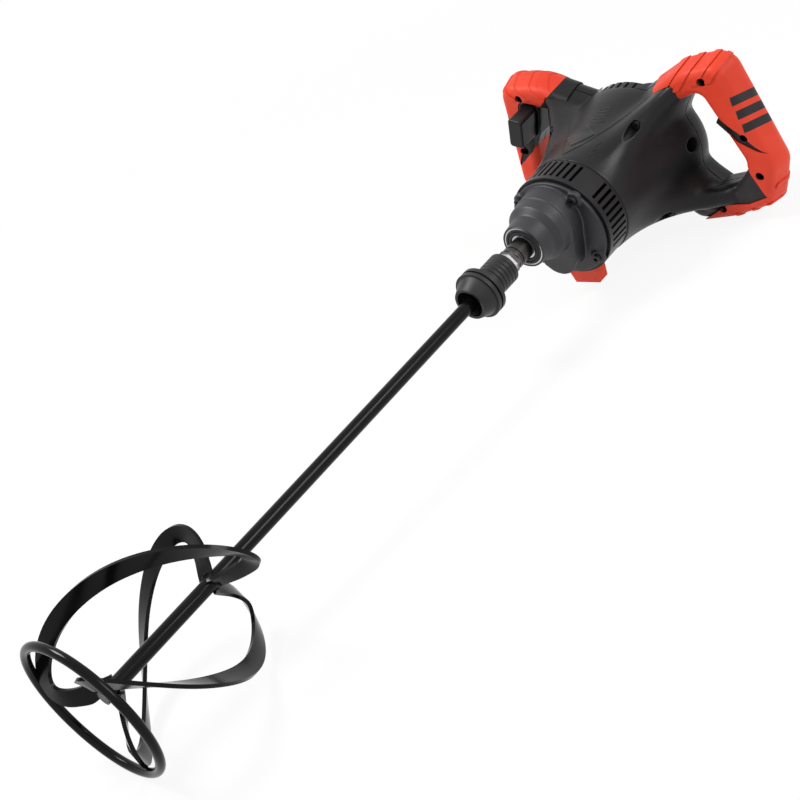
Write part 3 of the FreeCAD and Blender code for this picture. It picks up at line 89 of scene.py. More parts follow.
def patchy_finish_group():
    """Two noises on the piece's own coordinates: a broad one, spread between two limits, mixes two
    colours and two roughnesses, and a fine one gives the height of the grain."""
    broad_detail, fine_detail = 5, 2
    patch_low, patch_high = 0.35, 0.65
    group = bpy.data.node_groups.new("patchy_finish", "ShaderNodeTree")
    face = group.interface
    for name, kind in (("Colour", "NodeSocketColor"), ("Patch Colour", "NodeSocketColor"),
                       ("Patch Scale", "NodeSocketFloat"), ("Grain Scale", "NodeSocketFloat"),
                       ("Rough Low", "NodeSocketFloat"), ("Rough High", "NodeSocketFloat")):
        face.new_socket(name, in_out="INPUT", socket_type=kind)
    for name, kind in (("Colour", "NodeSocketColor"), ("Roughness", "NodeSocketFloat"),
                       ("Height", "NodeSocketFloat")):
        face.new_socket(name, in_out="OUTPUT", socket_type=kind)
    nodes, links = group.nodes, group.links
    given = nodes.new("NodeGroupInput")
    out = nodes.new("NodeGroupOutput")
    place = nodes.new("ShaderNodeTexCoord")
    broad = nodes.new("ShaderNodeTexNoise")
    broad.inputs["Detail"].default_value = broad_detail
    fine = nodes.new("ShaderNodeTexNoise")
    fine.inputs["Detail"].default_value = fine_detail
    for noise, scale in ((broad, "Patch Scale"), (fine, "Grain Scale")):
        links.new(place.outputs["Object"], noise.inputs["Vector"])
        links.new(given.outputs[scale], noise.inputs["Scale"])
    spread = nodes.new("ShaderNodeMapRange")
    spread.inputs["From Min"].default_value = patch_low
    spread.inputs["From Max"].default_value = patch_high
    links.new(broad.outputs["Fac"], spread.inputs["Value"])
    tint = nodes.new("ShaderNodeMix")
    tint.data_type = "RGBA"
    links.new(spread.outputs["Result"], tint.inputs["Factor"])
    links.new(given.outputs["Colour"], tint.inputs["A"])
    links.new(given.outputs["Patch Colour"], tint.inputs["B"])
    rough = nodes.new("ShaderNodeMapRange")
    links.new(spread.outputs["Result"], rough.inputs["Value"])
    links.new(given.outputs["Rough Low"], rough.inputs["To Min"])
    links.new(given.outputs["Rough High"], rough.inputs["To Max"])
    links.new(tint.outputs["Result"], out.inputs["Colour"])
    links.new(rough.outputs["Result"], out.inputs["Roughness"])
    links.new(fine.outputs["Fac"], out.inputs["Height"])
    return group


patchy_finish = patchy_finish_group()


def finish_of(name, colour, patch, rough, scales, grain, metal=0.0, gloss=0.5):
    """A Principled material fed by the patchy finish: two colours, two roughnesses, the scales of
    patch and grain, and the grain's height in millimetres as a bump."""
    material = bpy.data.materials.new(name)
    material.use_nodes = True
    nodes, links = material.node_tree.nodes, material.node_tree.links
    shader = nodes["Principled BSDF"]
    shader.inputs["Metallic"].default_value = metal
    shader.inputs["Specular IOR Level"].default_value = gloss
    patchy = nodes.new("ShaderNodeGroup")
    patchy.node_tree = patchy_finish
    patchy.inputs["Colour"].default_value = byte_colour(*colour)
    patchy.inputs["Patch Colour"].default_value = byte_colour(*patch)
    patchy.inputs["Patch Scale"].default_value, patchy.inputs["Grain Scale"].default_value = scales
    patchy.inputs["Rough Low"].default_value, patchy.inputs["Rough High"].default_value = rough
    bump = nodes.new("ShaderNodeBump")
    bump.inputs["Strength"].default_value = 1.0
    bump.inputs["Distance"].default_value = grain * millimetre
    links.new(patchy.outputs["Height"], bump.inputs["Height"])
    links.new(patchy.outputs["Colour"], shader.inputs["Base Color"])
    links.new(patchy.outputs["Roughness"], shader.inputs["Roughness"])
    links.new(bump.outputs["Normal"], shader.inputs["Normal"])
    return material


def finished(material, *names):
    """The named CAD pieces keep their shape and take this material."""
    for name in names:
        mesh = frame["nodes"][name].data
        mesh.materials.clear()
        mesh.materials.append(material)


gloss_black = finish_of("gloss_black_paint", colour=(9, 9, 10), patch=(13, 13, 14), rough=(0.13, 0.2),
                        scales=(35, 420), grain=0.006, gloss=0.14)
finished(gloss_black, "paddle_shaft", "paddle_ring", "paddle_blade_1", "paddle_blade_2", "paddle_blade_3")

strip_reach = 67.9
strip_squareness = 2.95
strip_first_turn, strip_sweep = 10.4, 174.7
strip_upper_place, strip_lower_place = 134.0, 30.2
strip_upper_flare, strip_lower_flare = 52.0, 60.0
strip_sag = 8.4


def strip_line(share):
    """Middle line of a strip by its share of the run: out from the shaft, round a helix and back in.
    The radius is a power of the sine and the run a power of the cosine, so the bow is squarish; the
    flare carries its shoulders along the shaft, and the sag its middle."""
    swing = math.pi * np.asarray(share, float)
    power = 2 / strip_squareness
    cosine = np.cos(swing)
    run = (1 - np.sign(cosine) * np.abs(cosine) ** power) / 2
    out = np.sin(swing) ** power
    angle = np.radians(strip_first_turn + strip_sweep * run)
    flare = np.where(run < 0.5, strip_upper_flare, strip_lower_flare)
    bow = flare * (1 - 2 * run) - strip_sag * (1 - (1 - 2 * run) ** 2)
    along = strip_upper_place + (strip_lower_place - strip_upper_place) * run + bow * out
    return np.stack([strip_reach * out * np.cos(angle), along, strip_reach * out * np.sin(angle)], -1)


def piece_from(name, points, faces, material, body):
    """A new mesh object from machine millimetres, shaded smooth, that rides on one body; points
    that fall together are merged, so seams and poles are closed, and faces turn outward."""
    merge_reach = 0.001
    mesh = bpy.data.meshes.new(name)
    mesh.from_pydata(laid(points).tolist(), [], np.asarray(faces).tolist())
    shape = bmesh.new()
    shape.from_mesh(mesh)
    bmesh.ops.remove_doubles(shape, verts=shape.verts, dist=merge_reach * millimetre)
    bmesh.ops.recalc_face_normals(shape, faces=shape.faces)
    shape.to_mesh(mesh)
    shape.free()
    mesh.polygons.foreach_set("use_smooth", np.ones(len(mesh.polygons), bool))
    mesh.update()
    mesh.materials.append(material)
    thing = bpy.data.objects.new(name, mesh)
    bpy.context.scene.collection.objects.link(thing)
    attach(thing, body)
    return thing


def grid_faces(rows, columns, first=0, closed=True):
    """Quads of a grid, numbered row by row; closed where the last column meets the first one."""
    row, column = np.meshgrid(np.arange(rows - 1), np.arange(columns if closed else columns - 1),
                              indexing="ij")
    after = (column + 1) % columns
    quads = np.stack([row * columns + column, row * columns + after,
                      (row + 1) * columns + after, (row + 1) * columns + column], -1)
    return quads.reshape(-1, 4) + first


def joined_grids(grids):
    """The points and quads of several closed grids in one list each, numbered on from grid to grid."""
    points, faces, count = [], [], 0
    for grid in grids:
        points.append(grid.reshape(-1, 3))
        faces.append(grid_faces(*grid.shape[:2], count))
        count += grid.shape[0] * grid.shape[1]
    return np.concatenate(points), np.concatenate(faces)


def section_turn(sides):
    """The angles of a round section's corners, equally far apart."""
    return np.linspace(0, 2 * math.pi, sides, endpoint=False)


weld_steps, weld_sides = 40, 12
weld_half_length, weld_radius = 7.2, 1.9
weld_off_middle = 1.9
weld_from_axis = 6.7
weld_ripple, weld_drops = 0.16, 44
weld_taper_power = 6


def weld_bead(path, side, up):
    """A run of weld along a path: a round section that swells with each drop of metal, a sine of the
    share, and tapers to nothing at both ends; side and up are the section's two directions."""
    share = np.linspace(0, 1, len(path))
    taper = np.sqrt(np.clip(1 - (2 * share - 1) ** weld_taper_power, 0, 1))
    swell = weld_radius * taper * (1 + weld_ripple * np.sin(share * weld_drops))
    turn = section_turn(weld_sides)
    return (path[:, None] + swell[:, None, None] * (np.cos(turn)[None, :, None] * side[:, None]
                                                    + np.sin(turn)[None, :, None] * up[:, None]))


def unit(vectors):
    """Vectors brought to length one."""
    return vectors / np.linalg.norm(vectors, axis=-1, keepdims=True)


# Each end of a strip, as its share of the run and the strip's lean there in degrees, has a
# bead on both faces, drawn in to the skin of the shaft.
strip_ends = ((0.0135, 63.0), (0.9865, 115.0))
strip_turns = (0, 120, 240)
share_step = 0.002
beads = []
for strip_turn in strip_turns:
    spin = math.radians(strip_turn)
    about = np.array([[math.cos(spin), 0, -math.sin(spin)], [0, 1, 0], [math.sin(spin), 0, math.cos(spin)]])
    for end_share, lean in strip_ends:
        ahead = unit(strip_line(end_share + share_step) - strip_line(end_share - share_step))
        flat = unit(np.array([0, 1, 0]) - ahead * ahead[1])
        edge = np.cross(ahead, flat)
        wide = flat * math.cos(math.radians(lean)) - edge * math.sin(math.radians(lean))
        thick = np.cross(ahead, wide)
        for face in (-1, 1):
            reach = np.linspace(-weld_half_length, weld_half_length, weld_steps)
            path = strip_line(end_share) + reach[:, None] * wide + face * weld_off_middle * thick
            radial = path * np.array([1, 0, 1])
            path = path + (weld_from_axis / np.linalg.norm(radial, axis=-1, keepdims=True) - 1) * radial
            beads.append(weld_bead(path, np.tile(thick, (weld_steps, 1)), unit(radial)) @ about)
piece = piece_from("paddle_welds", *joined_grids(beads), gloss_black, "spindle")

# Quick-release coupling
# A turned steel sleeve, blackened in a salt bath, slides on the coupling body against a
# spring and frees the two balls that lock the paddle's hexagon shank.
blackened = finish_of("blackened_steel", colour=(24, 24, 26), patch=(34, 34, 36), rough=(0.34, 0.5),
                      scales=(60, 900), grain=0.03, metal=0.3)
finished(blackened, "coupling_sleeve")


def polished_steel(name):
    """Steel with a turned or drawn bright surface."""
    return finish_of(name, colour=(196, 197, 200), patch=(168, 170, 174), rough=(0.2, 0.36),
                     scales=(70, 1400), grain=0.02, metal=1.0)


bright = polished_steel("bright_steel")
finished(bright, "coupling_circlip", "coupling_spring", "locking_balls")


def wound_wire(radius, wire, turns, ends):
    """A helix of round wire along the shaft: the angle and the place along it grow with the share of
    the run, and the section shrinks to a point at both ends."""
    turn_steps, wire_sides, end_power = 40, 10, 200
    start, end = ends
    share = np.linspace(0, 1, turn_steps * turns + 1)
    angle = 2 * math.pi * turns * share
    outward = np.stack([np.cos(angle), np.zeros_like(angle), np.sin(angle)], -1)
    ahead = np.array([0.0, 1.0, 0.0])
    path = radius * outward + (start + wire / 2 + (end - start - wire) * share)[:, None] * ahead
    round_end = np.sqrt(np.clip(1 - (2 * share - 1) ** end_power, 0, 1))[:, None, None]
    turn = section_turn(wire_sides)
    section = np.cos(turn)[:, None] * outward[:, None] + np.sin(turn)[:, None] * ahead
    return path[:, None] + wire / 2 * round_end * section


def spring_piece(name, wound, body, node):
    """A bright steel spring that rides on one body in place of a CAD node, which is hidden; the
    spring gets a mesh of its own."""
    spring = piece_from(name, *joined_grids([wound]), bright, body)
    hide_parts(node)
    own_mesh(spring)


coupling_spring_ends = (534.13, 561.07)
coupling_coil = wound_wire(radius=11.9, wire=1.2, turns=6, ends=coupling_spring_ends)
spring_piece("coupling_coil", coupling_coil, "spindle", "coupling_spring")


def darker_past(material, limits, dark):
    """The material turns to a darker colour past every limit, a direction and a place in machine
    millimetres: the piece's own coordinates times the direction are compared with the place's."""
    nodes, links = material.node_tree.nodes, material.node_tree.links
    where = nodes.new("ShaderNodeTexCoord")
    mask = None
    for way, place in limits:
        across = np.array(way, float) @ machine_ways
        reach = nodes.new("ShaderNodeVectorMath")
        reach.operation = "DOT_PRODUCT"
        reach.inputs[1].default_value = across.tolist()
        past = nodes.new("ShaderNodeMath")
        past.operation = "GREATER_THAN"
        past.inputs[1].default_value = float(laid(place) @ across)
        links.new(where.outputs["Object"], reach.inputs[0])
        links.new(reach.outputs["Value"], past.inputs[0])
        if mask is not None:
            both = nodes.new("ShaderNodeMath")
            both.operation = "MULTIPLY"
            links.new(mask, both.inputs[0])
            links.new(past.outputs["Value"], both.inputs[1])
            past = both
        mask = past.outputs["Value"]
    tint = nodes.new("ShaderNodeMix")
    tint.data_type = "RGBA"
    tint.inputs["B"].default_value = byte_colour(*dark)
    shader = nodes["Principled BSDF"]
    links.new(mask, tint.inputs["Factor"])
    links.new(shader.inputs["Base Color"].links[0].from_socket, tint.inputs["A"])
    links.new(tint.outputs["Result"], shader.inputs["Base Color"])


oiled_colour = (84, 81, 80)
bright_collar_end = 569.5
hexagon_steel = polished_steel("hexagon_steel")
darker_past(hexagon_steel, [((0, 1, 0), (0, bright_collar_end, 0))], oiled_colour)
finished(hexagon_steel, "coupling_body")

# Spindle and front bearing
# Ground steel spindle in a ball bearing: silver races, steel balls and a black rubber seal,
# of which a lip turns with the spindle and a shield stays in the outer race.
oiled = finish_of("oiled_dark_steel", colour=oiled_colour, patch=(62, 60, 60), rough=(0.2, 0.3),
                  scales=(60, 1400), grain=0.01, metal=1.0)
finished(oiled, "output_spindle")
finished(bright, "front_bearing_inner", "front_bearing_outer", "front_bearing_balls")
seal_rubber = finish_of("seal_rubber", colour=(24, 24, 25), patch=(32, 32, 33), rough=(0.55, 0.7),
                        scales=(90, 900), grain=0.05)
finished(seal_rubber, "front_bearing_seal")
seal_front, seal_back = 595.9, 596.38
seal_sides = 96


def seal_ring(name, bore, rim, chamfer_in, chamfer_along, body):
    """A rubber ring round the shaft: its closed profile of (radius, place), with a chamfer on the front
    of the rim, is carried round at equal angles."""
    profile = [(bore, seal_front), (rim - chamfer_in, seal_front), (rim, seal_front + chamfer_along),
               (rim, seal_back), (bore, seal_back)]
    profile = np.array(profile + profile[:1], float)
    turn = section_turn(seal_sides)
    ring = np.stack([profile[:, :1] * np.cos(turn), np.repeat(profile[:, 1:], seal_sides, 1),
                     profile[:, :1] * np.sin(turn)], -1)
    made = piece_from(name, *joined_grids([ring]), seal_rubber, body)


seal_ring("bearing_lip", bore=13.2, rim=16.4, chamfer_in=0.4, chamfer_along=0.3, body="spindle")
seal_ring("bearing_shield", bore=16.7, rim=19.7, chamfer_in=0.3, chamfer_along=0.2, body="body")

# Gear train
# Hobbed and hardened steel gears on ground shafts that run in sintered bronze bushes.
bronze = finish_of("sintered_bronze", colour=(176, 132, 78), patch=(150, 108, 62), rough=(0.35, 0.5),
                   scales=(120, 1500), grain=0.05, metal=1.0)
finished(bronze, "spindle_bush", "intermediate_bushes")
finished(bright, "output_gear", "intermediate_shaft", "intermediate_gear")

# Gearbox
# Die-cast aluminium housing and plate, powder coated dark grey, closed by four cap screws.
cast_grey = finish_of("powder_coated_casting", colour=(38, 38, 42), patch=(32, 32, 36), rough=(0.42, 0.56),
                      scales=(30, 650), grain=0.14)
finished(cast_grey, "gearbox_housing", "gearbox_plate")


def soft_copy(name, nodes, grid, rounds_at, most_faces, material, body, fillers=()):
    """One closed skin round the named CAD pieces: their merged faces are sampled on a cubic grid,
    then every point moves halfway to the mean of its neighbours, for as many rounds as its place
    asks for, so that sharp corners turn into moulded radii; last, flat parts are thinned out.
    Fillers are balls (place and radius) that are grown together with the pieces first."""
    merge_reach, ball_finish = 0.005, 3
    shape = bmesh.new()
    for node in nodes:
        shape.from_mesh(frame["nodes"][node].data)
    bmesh.ops.remove_doubles(shape, verts=shape.verts, dist=merge_reach * millimetre)
    for *place, radius in fillers:
        spot = Matrix.Translation(laid([place])[0].tolist())
        bmesh.ops.create_icosphere(shape, subdivisions=ball_finish, radius=radius * millimetre, matrix=spot)
    mesh = bpy.data.meshes.new(name)
    shape.to_mesh(mesh)
    shape.free()
    thing = bpy.data.objects.new(name, mesh)
    bpy.context.scene.collection.objects.link(thing)

    def evaluated():
        """The mesh with its modifier worked out; the modifier is taken off."""
        bpy.context.view_layer.update()
        worked = thing.evaluated_get(bpy.context.evaluated_depsgraph_get())
        result = bpy.data.meshes.new_from_object(worked)
        thing.modifiers.clear()
        return result

    skin = thing.modifiers.new("skin", "REMESH")
    skin.mode = "VOXEL"
    skin.voxel_size = grid * millimetre
    mesh = evaluated()
    count = len(mesh.vertices)
    points = np.empty(3 * count)
    mesh.vertices.foreach_get("co", points)
    points = measured(points.reshape(-1, 3))
    edges = np.empty(2 * len(mesh.edges), np.int32)
    mesh.edges.foreach_get("vertices", edges)
    here = np.concatenate([edges[::2], edges[1::2]])
    there = np.concatenate([edges[1::2], edges[::2]])
    neighbours = np.bincount(here, minlength=count)[:, None]
    rounds = rounds_at(points)
    for done in range(int(np.ceil(rounds.max()))):
        sums = np.stack([np.bincount(here, points[there, way], count) for way in range(3)], -1)
        points += np.clip(rounds - done, 0, 1)[:, None] / 2 * (sums / neighbours - points)
    mesh.vertices.foreach_set("co", laid(points).ravel())
    mesh.update()
    thing.data = mesh
    thinner = thing.modifiers.new("thinner", "DECIMATE")
    thinner.ratio = min(1.0, most_faces / (2 * len(mesh.polygons)))
    mesh = evaluated()
    mesh.polygons.foreach_set("use_smooth", np.ones(len(mesh.polygons), bool))
    mesh.update()
    mesh.materials.clear()
    mesh.materials.append(material)
    thing.data = mesh
    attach(thing, body)
    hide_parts(*nodes)
    return thing


casting_grid = 0.7
casting_rounds = 7.0
casting_faces = 110000


def casting_rounds_at(points):
    """The same number of rounds everywhere, for the radii of a casting."""
    return np.full(len(points), casting_rounds)


piece = soft_copy("gearbox_casting", ["gearbox_housing"], casting_grid, casting_rounds_at, casting_faces,
                  cast_grey, "body")
finished(blackened, "gearbox_screws")

# Foot
# A red rubber-skinned skid under the gearbox that keeps the nose off the floor.


def red_rubber(name):
    """The soft red rubber of the covers and the foot."""
    return finish_of(name, colour=(226, 70, 46), patch=(214, 60, 38), rough=(0.42, 0.56),
                     scales=(22, 1100), grain=0.09, gloss=0.22)


grip_red = red_rubber("soft_red_rubber")
finished(grip_red, "foot")

# Motor
# Laminated steel core and field, copper windings, a copper commutator with carbon brushes,
# a moulded fan and sealed bearings, in a black moulded motor housing.
laminated = finish_of("lamination_steel", colour=(120, 121, 125), patch=(96, 97, 102), rough=(0.4, 0.55),
                      scales=(60, 800), grain=0.05, metal=1.0)
finished(laminated, "rotor_core", "stator_core")
copper = finish_of("enamelled_copper", colour=(190, 104, 56), patch=(160, 80, 42), rough=(0.28, 0.42),
                   scales=(90, 700), grain=0.08, metal=1.0)
finished(copper, "rotor_winding", "field_coils", "commutator")
carbon = finish_of("pressed_carbon", colour=(34, 34, 36), patch=(46, 46, 48), rough=(0.6, 0.75),
                   scales=(200, 1600), grain=0.05)
finished(carbon, "brushes")
finished(bright, "rotor_shaft", "motor_front_bearing", "motor_rear_bearing", "brush_springs")
shell_black = (20, 20, 22)
body_black = finish_of("moulded_black_plastic", colour=shell_black, patch=(25, 25, 27), rough=(0.28, 0.38),
                       scales=(18, 1300), grain=0.08, gloss=0.24)
finished(body_black, "motor_housing", "fan", "brush_caps")
finished(bronze, "brush_holders")

# Body shell and handles
# Glass-filled black nylon: one four-armed front shell with the front halves of both
# D-handles, and two rear handle halves screwed to it from behind.
front_shell = ["housing_front", "handle_front_right", "handle_front_left"]
finished(body_black, *front_shell, "handle_back_right", "handle_back_left", "switch")

plain_rounds, arm_rounds, top_rounds = 2, 90, 60
arm_middle_height = -16
arm_root, arm_tip, arm_front = (36, 50), (106, 116), (766, 776)
arm_rear, arm_off_middle = (791, 798), (34, 48)
top_height, top_half_width = (28, 34), (30, 38)
top_front, top_rear = (690, 697), (788, 796)


def ramp(values, start, end):
    """Zero before the start, one past the end, an S-curve between."""
    share = np.clip((values - start) / (end - start), 0, 1)
    return share * share * (3 - 2 * share)


def shell_rounds(points):
    """Few rounds everywhere, many where the ridges of the body run out into the handle arms, and
    some on the top between the upper ridges; each place fades in and out by ramps."""
    out, along, height = np.abs(points[:, 0]), points[:, 1], points[:, 2]
    arm = ramp(out, *arm_root) * (1 - ramp(out, *arm_tip)) * ramp(along, *arm_front)
    arm = arm_rounds * arm * (1 - ramp(along, *arm_rear))
    top = ramp(height, *top_height) * (1 - ramp(out, *top_half_width)) * ramp(along, *top_front)
    top = top_rounds * top * (1 - ramp(along, *top_rear))
    return plain_rounds + arm * ramp(np.abs(height - arm_middle_height), *arm_off_middle) + top


# A row of balls, given by place and radius, thickens both lower arms from root to tip.
arm_ball_count = 24
arm_root_ball = np.array([70, 784, -74, 12.0])
arm_tip_ball = np.array([108, 795.2, -76, 9.0])
arm_balls = []
for share in np.linspace(0, 1, arm_ball_count):
    right_ball = arm_root_ball * (1 - share) + arm_tip_ball * share
    for side in (-1, 1):
        arm_balls.append(right_ball * np.array([side, 1, 1, 1]))
shell_grid = 0.9
shell_faces = 190000
piece = soft_copy("body_shell_front", front_shell, shell_grid, shell_rounds, shell_faces, body_black, "body",
                  arm_balls)

# Lines and plate on the shell
# Moulded in with the shell: the edges of its raised top, which meet in a point at the front,
# a bare plate behind that point, five short lines, and jagged nicks on each side.
shell_surface = BVHTree.FromPolygons([v.co for v in piece.data.vertices],
                                     [p.vertices for p in piece.data.polygons])


def on_shell(across, along):
    """Points of the shell straight below the given places, and their outward normals."""
    well_above = 120.0
    hits, normals = [], []
    for start in laid(np.stack([across, along, np.full_like(along, well_above)], -1)).tolist():
        hit, normal, *rest = shell_surface.ray_cast(start, (-upper_way).tolist())
        hits.append(hit)
        normals.append(normal)
    return measured(hits), np.array(normals) @ machine_ways.T


def raised_line(corners, half_width, height):
    """A half-round line through corners on the shell: its path is sampled at even steps and let
    down onto the surface, and its section tapers to nothing at both ends."""
    step, fewest_steps, line_sides, taper_power = 0.6, 6, 10, 10
    corners = np.array(corners, float)
    lengths = np.concatenate([[0], np.cumsum(np.linalg.norm(np.diff(corners, axis=0), axis=1))])
    places = np.linspace(0, lengths[-1], max(fewest_steps, int(lengths[-1] / step)))
    path, up = on_shell(np.interp(places, lengths, corners[:, 0]), np.interp(places, lengths, corners[:, 1]))
    ahead = unit(np.gradient(path, axis=0))
    side = unit(np.cross(ahead, up))
    share = np.linspace(0, 1, len(path))
    taper = np.sqrt(np.clip(1 - (2 * share - 1) ** taper_power, 0, 1))[:, None, None]
    turn = section_turn(line_sides)
    return path[:, None] + taper * (half_width * np.cos(turn)[None, :, None] * side[:, None]
                                    + height * np.sin(turn)[None, :, None] * up[:, None])


top_edge = np.array([(0, 693), (11, 711), (19, 730), (29, 749), (40, 766)])
upper_nick = np.array([(30.4, 721.2), (25.1, 710.7), (27, 706.1), (31, 710.4)])
lower_nick = np.array([(32, 707.5), (26.9, 698.7), (27.8, 693.5)])
edge_size, fine_size = (0.9, 0.6), (0.5, 0.4)
short_line = np.array([(-1, 748.5), (15, 751)])
short_line_count, short_line_pitch = 5, 5
lines = []
for side in (-1, 1):
    mirror = np.array([side, 1])
    lines.append(raised_line(top_edge * mirror, *edge_size))
    lines.append(raised_line(upper_nick * mirror, *fine_size))
    lines.append(raised_line(lower_nick * mirror, *fine_size))
for row in range(short_line_count):
    lines.append(raised_line(short_line + np.array([0, short_line_pitch * row]), *fine_size))
piece = piece_from("shell_lines", *joined_grids(lines), body_black, "body")

# The plate's top and floor are one grid between four corners, let down onto the shell; both
# close in on each other along the rim.
plate_corners = np.array([(-19.0, 727.0), (0.0, 707.5), (16.5, 730.5), (-1.5, 745.0)])
plate_steps = 41
plate_swell, plate_depth, plate_sink = 1.15, 0.5, 0.4
plate_rim_share = 0.1
u, v = np.meshgrid(np.linspace(0, 1, plate_steps), np.linspace(0, 1, plate_steps), indexing="ij")
u, v = u.ravel()[:, None], v.ravel()[:, None]
plate_flat = ((1 - u) * (1 - v) * plate_corners[0] + u * (1 - v) * plate_corners[1]
              + u * v * plate_corners[2] + (1 - u) * v * plate_corners[3])
plate_places, plate_normals = on_shell(plate_flat[:, 0], plate_flat[:, 1])
from_rim = ramp(1 - np.maximum(np.abs(2 * u - 1), np.abs(2 * v - 1)), 0, plate_rim_share)
plate_top = plate_places + plate_normals * (plate_swell * from_rim - plate_sink)
plate_floor = plate_places - plate_normals * (plate_depth * from_rim + plate_sink)
plate_faces = grid_faces(plate_steps, plate_steps, closed=False)
label_black = finish_of("bare_label_plate", colour=(20, 19, 20), patch=(26, 25, 26), rough=(0.26, 0.36),
                        scales=(60, 900), grain=0.02, gloss=0.3)
piece = piece_from("label_plate", np.concatenate([plate_top, plate_floor]),
                   np.concatenate([plate_faces, plate_faces[:, ::-1] + plate_steps ** 2]),
                   label_black, "body")

# Grip covers
# Soft red rubber moulded over the handles, with dark grey stripes let into it; the left cover
# turns black towards the body, past a slanting line across the upper arm.
finished(grip_red, "grip_front_right", "grip_back_right")
left_red = red_rubber("soft_red_rubber_left")
slant_way, slant_place = (0.584, 0, -0.812), (-67.2, 800, 60.4)
arm_lowest, arm_farthest = 20, -100
darker_past(left_red, [(slant_way, slant_place), ((0, 0, 1), (0, 0, arm_lowest)),
                       ((1, 0, 0), (arm_farthest, 0, 0))], shell_black)
finished(left_red, "grip_front_left", "grip_back_left")
stripe_grey = finish_of("dark_stripe_rubber", colour=(46, 42, 43), patch=(40, 36, 38), rough=(0.5, 0.62),
                        scales=(40, 1100), grain=0.09, gloss=0.25)
finished(stripe_grey, "stripe_inlays", "arm_inserts")

# Screws
# Blackened thread-forming screws at the bottom of deep round recesses.
finished(blackened, "handle_screws", "ridge_screws")

# Trigger
# A black moulded trigger under the left grip, pushed back by a steel spring.
finished(body_black, "trigger")
finished(bright, "trigger_spring")
trigger_spring_ends = (791.92, 802.68)
trigger_spring_middle = np.array([-111.52, 0, 29.375])
trigger_coil = wound_wire(radius=4.0, wire=0.8, turns=3, ends=trigger_spring_ends) + trigger_spring_middle
spring_piece("trigger_coil", trigger_coil, "body", "trigger_spring")

# Motor cap and cable inlet
# The ribbed rear cap, and the rubber gland where a lead enters the left handle from behind.
finished(body_black, "motor_cap")
finished(seal_rubber, "cable_inlet")

# Studio
# A pale plain floor under a white sky, with a soft key lamp on the camera's left and a weaker
# fill on its right; the floor keeps a shadow near the drill and is plain white farther off.
floor_half = 6.0
floor_mesh = bpy.data.meshes.new("studio_floor")
floor_mesh.from_pydata([(-floor_half, -floor_half, 0), (floor_half, -floor_half, 0),
                        (floor_half, floor_half, 0), (-floor_half, floor_half, 0)], [], [(0, 1, 2, 3)])
floor = bpy.data.objects.new("studio_floor", floor_mesh)
bpy.context.scene.collection.objects.link(floor)


def seen_directly(nodes, links):
    """One where a camera, mirror or glass ray looks at the surface, zero for the light it gives."""
    path = nodes.new("ShaderNodeLightPath")
    first = nodes.new("ShaderNodeMath")
    first.operation = "MAXIMUM"
    links.new(path.outputs["Is Camera Ray"], first.inputs[0])
    links.new(path.outputs["Is Glossy Ray"], first.inputs[1])
    both = nodes.new("ShaderNodeMath")
    both.operation = "MAXIMUM"
    links.new(first.outputs[0], both.inputs[0])
    links.new(path.outputs["Is Transmission Ray"], both.inputs[1])
    return both.outputs[0]


floor_roughness = 0.9
floor_greys = (0.90, 0.92)
floor_cloud_scale = 3.0
white_near, white_near_reach, white_far_reach = 0.9, 0.5, 1.6
floor_paint = bpy.data.materials.new("studio_floor_paint")
floor_paint.use_nodes = True
floor_nodes, floor_links = floor_paint.node_tree.nodes, floor_paint.node_tree.links
floor_shader = floor_nodes["Principled BSDF"]
floor_shader.inputs["Roughness"].default_value = floor_roughness
floor_shader.inputs["Specular IOR Level"].default_value = 0.0
floor_noise = floor_nodes.new("ShaderNodeTexNoise")
floor_noise.inputs["Scale"].default_value = floor_cloud_scale
floor_place = floor_nodes.new("ShaderNodeTexCoord")
floor_ramp = floor_nodes.new("ShaderNodeValToRGB")
for stop, grey in zip(floor_ramp.color_ramp.elements, floor_greys):
    stop.color = (grey, grey, grey, 1)
floor_links.new(floor_place.outputs["Object"], floor_noise.inputs["Vector"])
floor_links.new(floor_noise.outputs["Fac"], floor_ramp.inputs["Fac"])
floor_links.new(floor_ramp.outputs["Color"], floor_shader.inputs["Base Color"])
floor_far = floor_nodes.new("ShaderNodeVectorMath")
floor_far.operation = "LENGTH"
floor_links.new(floor_place.outputs["Object"], floor_far.inputs[0])
floor_fade = floor_nodes.new("ShaderNodeMapRange")
floor_fade.inputs["From Min"].default_value = white_near_reach
floor_fade.inputs["From Max"].default_value = white_far_reach
floor_fade.inputs["To Min"].default_value = white_near
floor_links.new(floor_far.outputs["Value"], floor_fade.inputs["Value"])
floor_share = floor_nodes.new("ShaderNodeMath")
floor_share.operation = "MULTIPLY"
floor_links.new(seen_directly(floor_nodes, floor_links), floor_share.inputs[0])
floor_links.new(floor_fade.outputs["Result"], floor_share.inputs[1])
floor_white = floor_nodes.new("ShaderNodeEmission")
floor_mix = floor_nodes.new("ShaderNodeMixShader")
floor_links.new(floor_share.outputs[0], floor_mix.inputs["Fac"])
floor_links.new(floor_shader.outputs[0], floor_mix.inputs[1])
floor_links.new(floor_white.outputs[0], floor_mix.inputs[2])
floor_links.new(floor_mix.outputs[0], floor_nodes["Material Output"].inputs["Surface"])
floor_mesh.materials.append(floor_paint)

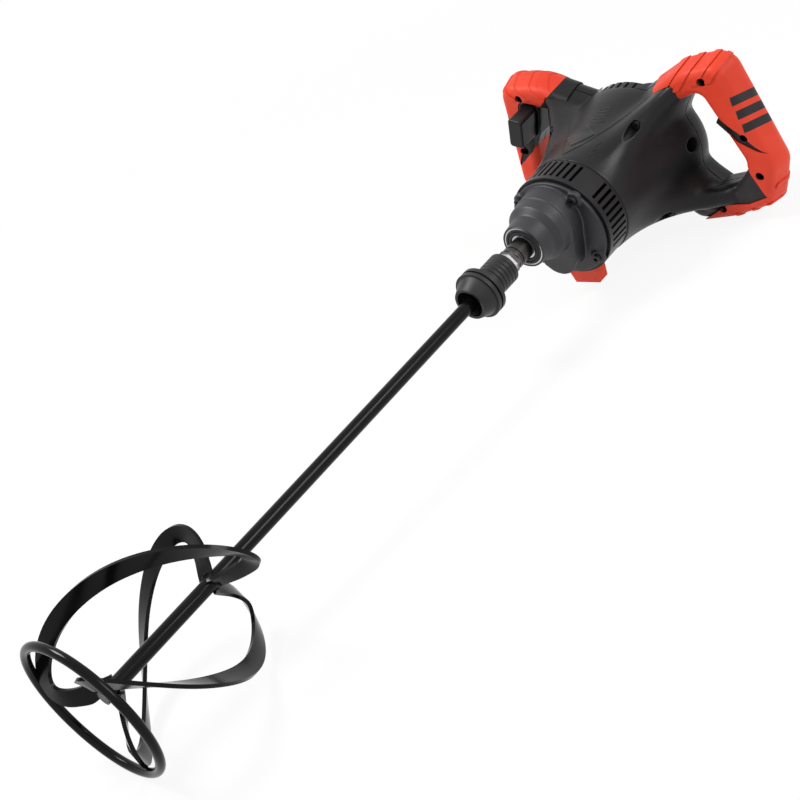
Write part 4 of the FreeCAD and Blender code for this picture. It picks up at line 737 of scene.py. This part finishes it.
sky_light, sky_seen = 0.42, 1.0
world = bpy.data.worlds.new("studio_world")
world.use_nodes = True
sky_nodes, sky_links = world.node_tree.nodes, world.node_tree.links
sky = sky_nodes["Background"]
sky.inputs["Color"].default_value = (1, 1, 1, 1)
sky_strength = sky_nodes.new("ShaderNodeMapRange")
sky_strength.inputs["To Min"].default_value = sky_light
sky_strength.inputs["To Max"].default_value = sky_seen
sky_links.new(seen_directly(sky_nodes, sky_links), sky_strength.inputs["Value"])
sky_links.new(sky_strength.outputs["Result"], sky.inputs["Strength"])
bpy.context.scene.world = world


def soft_lamp(name, place, aim, size, power):
    """A square area lamp at a place, turned so that it faces the aim: its back points away from the
    aim and its side lies level."""
    lamp = bpy.data.lights.new(name, "AREA")
    lamp.size = size
    lamp.energy = power
    holder = bpy.data.objects.new(name, lamp)
    back = unit(np.array(place) - np.array(aim))
    side = unit(np.cross([0.0, 0.0, 1.0], back))
    turn = np.eye(4)
    turn[:3, 0], turn[:3, 1], turn[:3, 2], turn[:3, 3] = side, np.cross(back, side), back, place
    holder.matrix_world = Matrix(turn.tolist())
    bpy.context.scene.collection.objects.link(holder)


soft_lamp("key_lamp", place=(-0.75, -0.45, 1.7), aim=(0, 0.1, 0.1), size=0.6, power=29)
soft_lamp("fill_lamp", place=(1.5, 0.7, 1.3), aim=(0, 0.2, 0.1), size=0.8, power=14)

# Camera
# Stands to the right of the shaft, above the gearbox, and looks down across the drill; its
# place and ways are in machine millimetres, its focal length in pixels of the photograph.
camera_place = (941.281, -288.558, 629.056)
camera_right = (0.699566, 0.583062, -0.413093)
camera_down = (0.073474, -0.633732, -0.770056)
camera_ahead = (-0.710780, 0.508353, -0.486177)
photo_width, focal_pixels = 800, 1499.191
sensor_width = 36.0
nearest_seen = 0.01
camera_data = bpy.data.cameras.new("studio_camera")
camera_data.sensor_width = sensor_width
camera_data.lens = sensor_width * focal_pixels / photo_width
camera_data.clip_start = nearest_seen
camera = bpy.data.objects.new("studio_camera", camera_data)
camera_turn = np.eye(4)
camera_turn[:3, 0] = np.array(camera_right) @ machine_ways
camera_turn[:3, 1] = -np.array(camera_down) @ machine_ways
camera_turn[:3, 2] = -np.array(camera_ahead) @ machine_ways
camera_turn[:3, 3] = laid(camera_place)
camera.matrix_world = Matrix(camera_turn.tolist())
bpy.context.scene.collection.objects.link(camera)
bpy.context.scene.camera = camera
bpy.context.scene.view_settings.view_transform = "Standard"
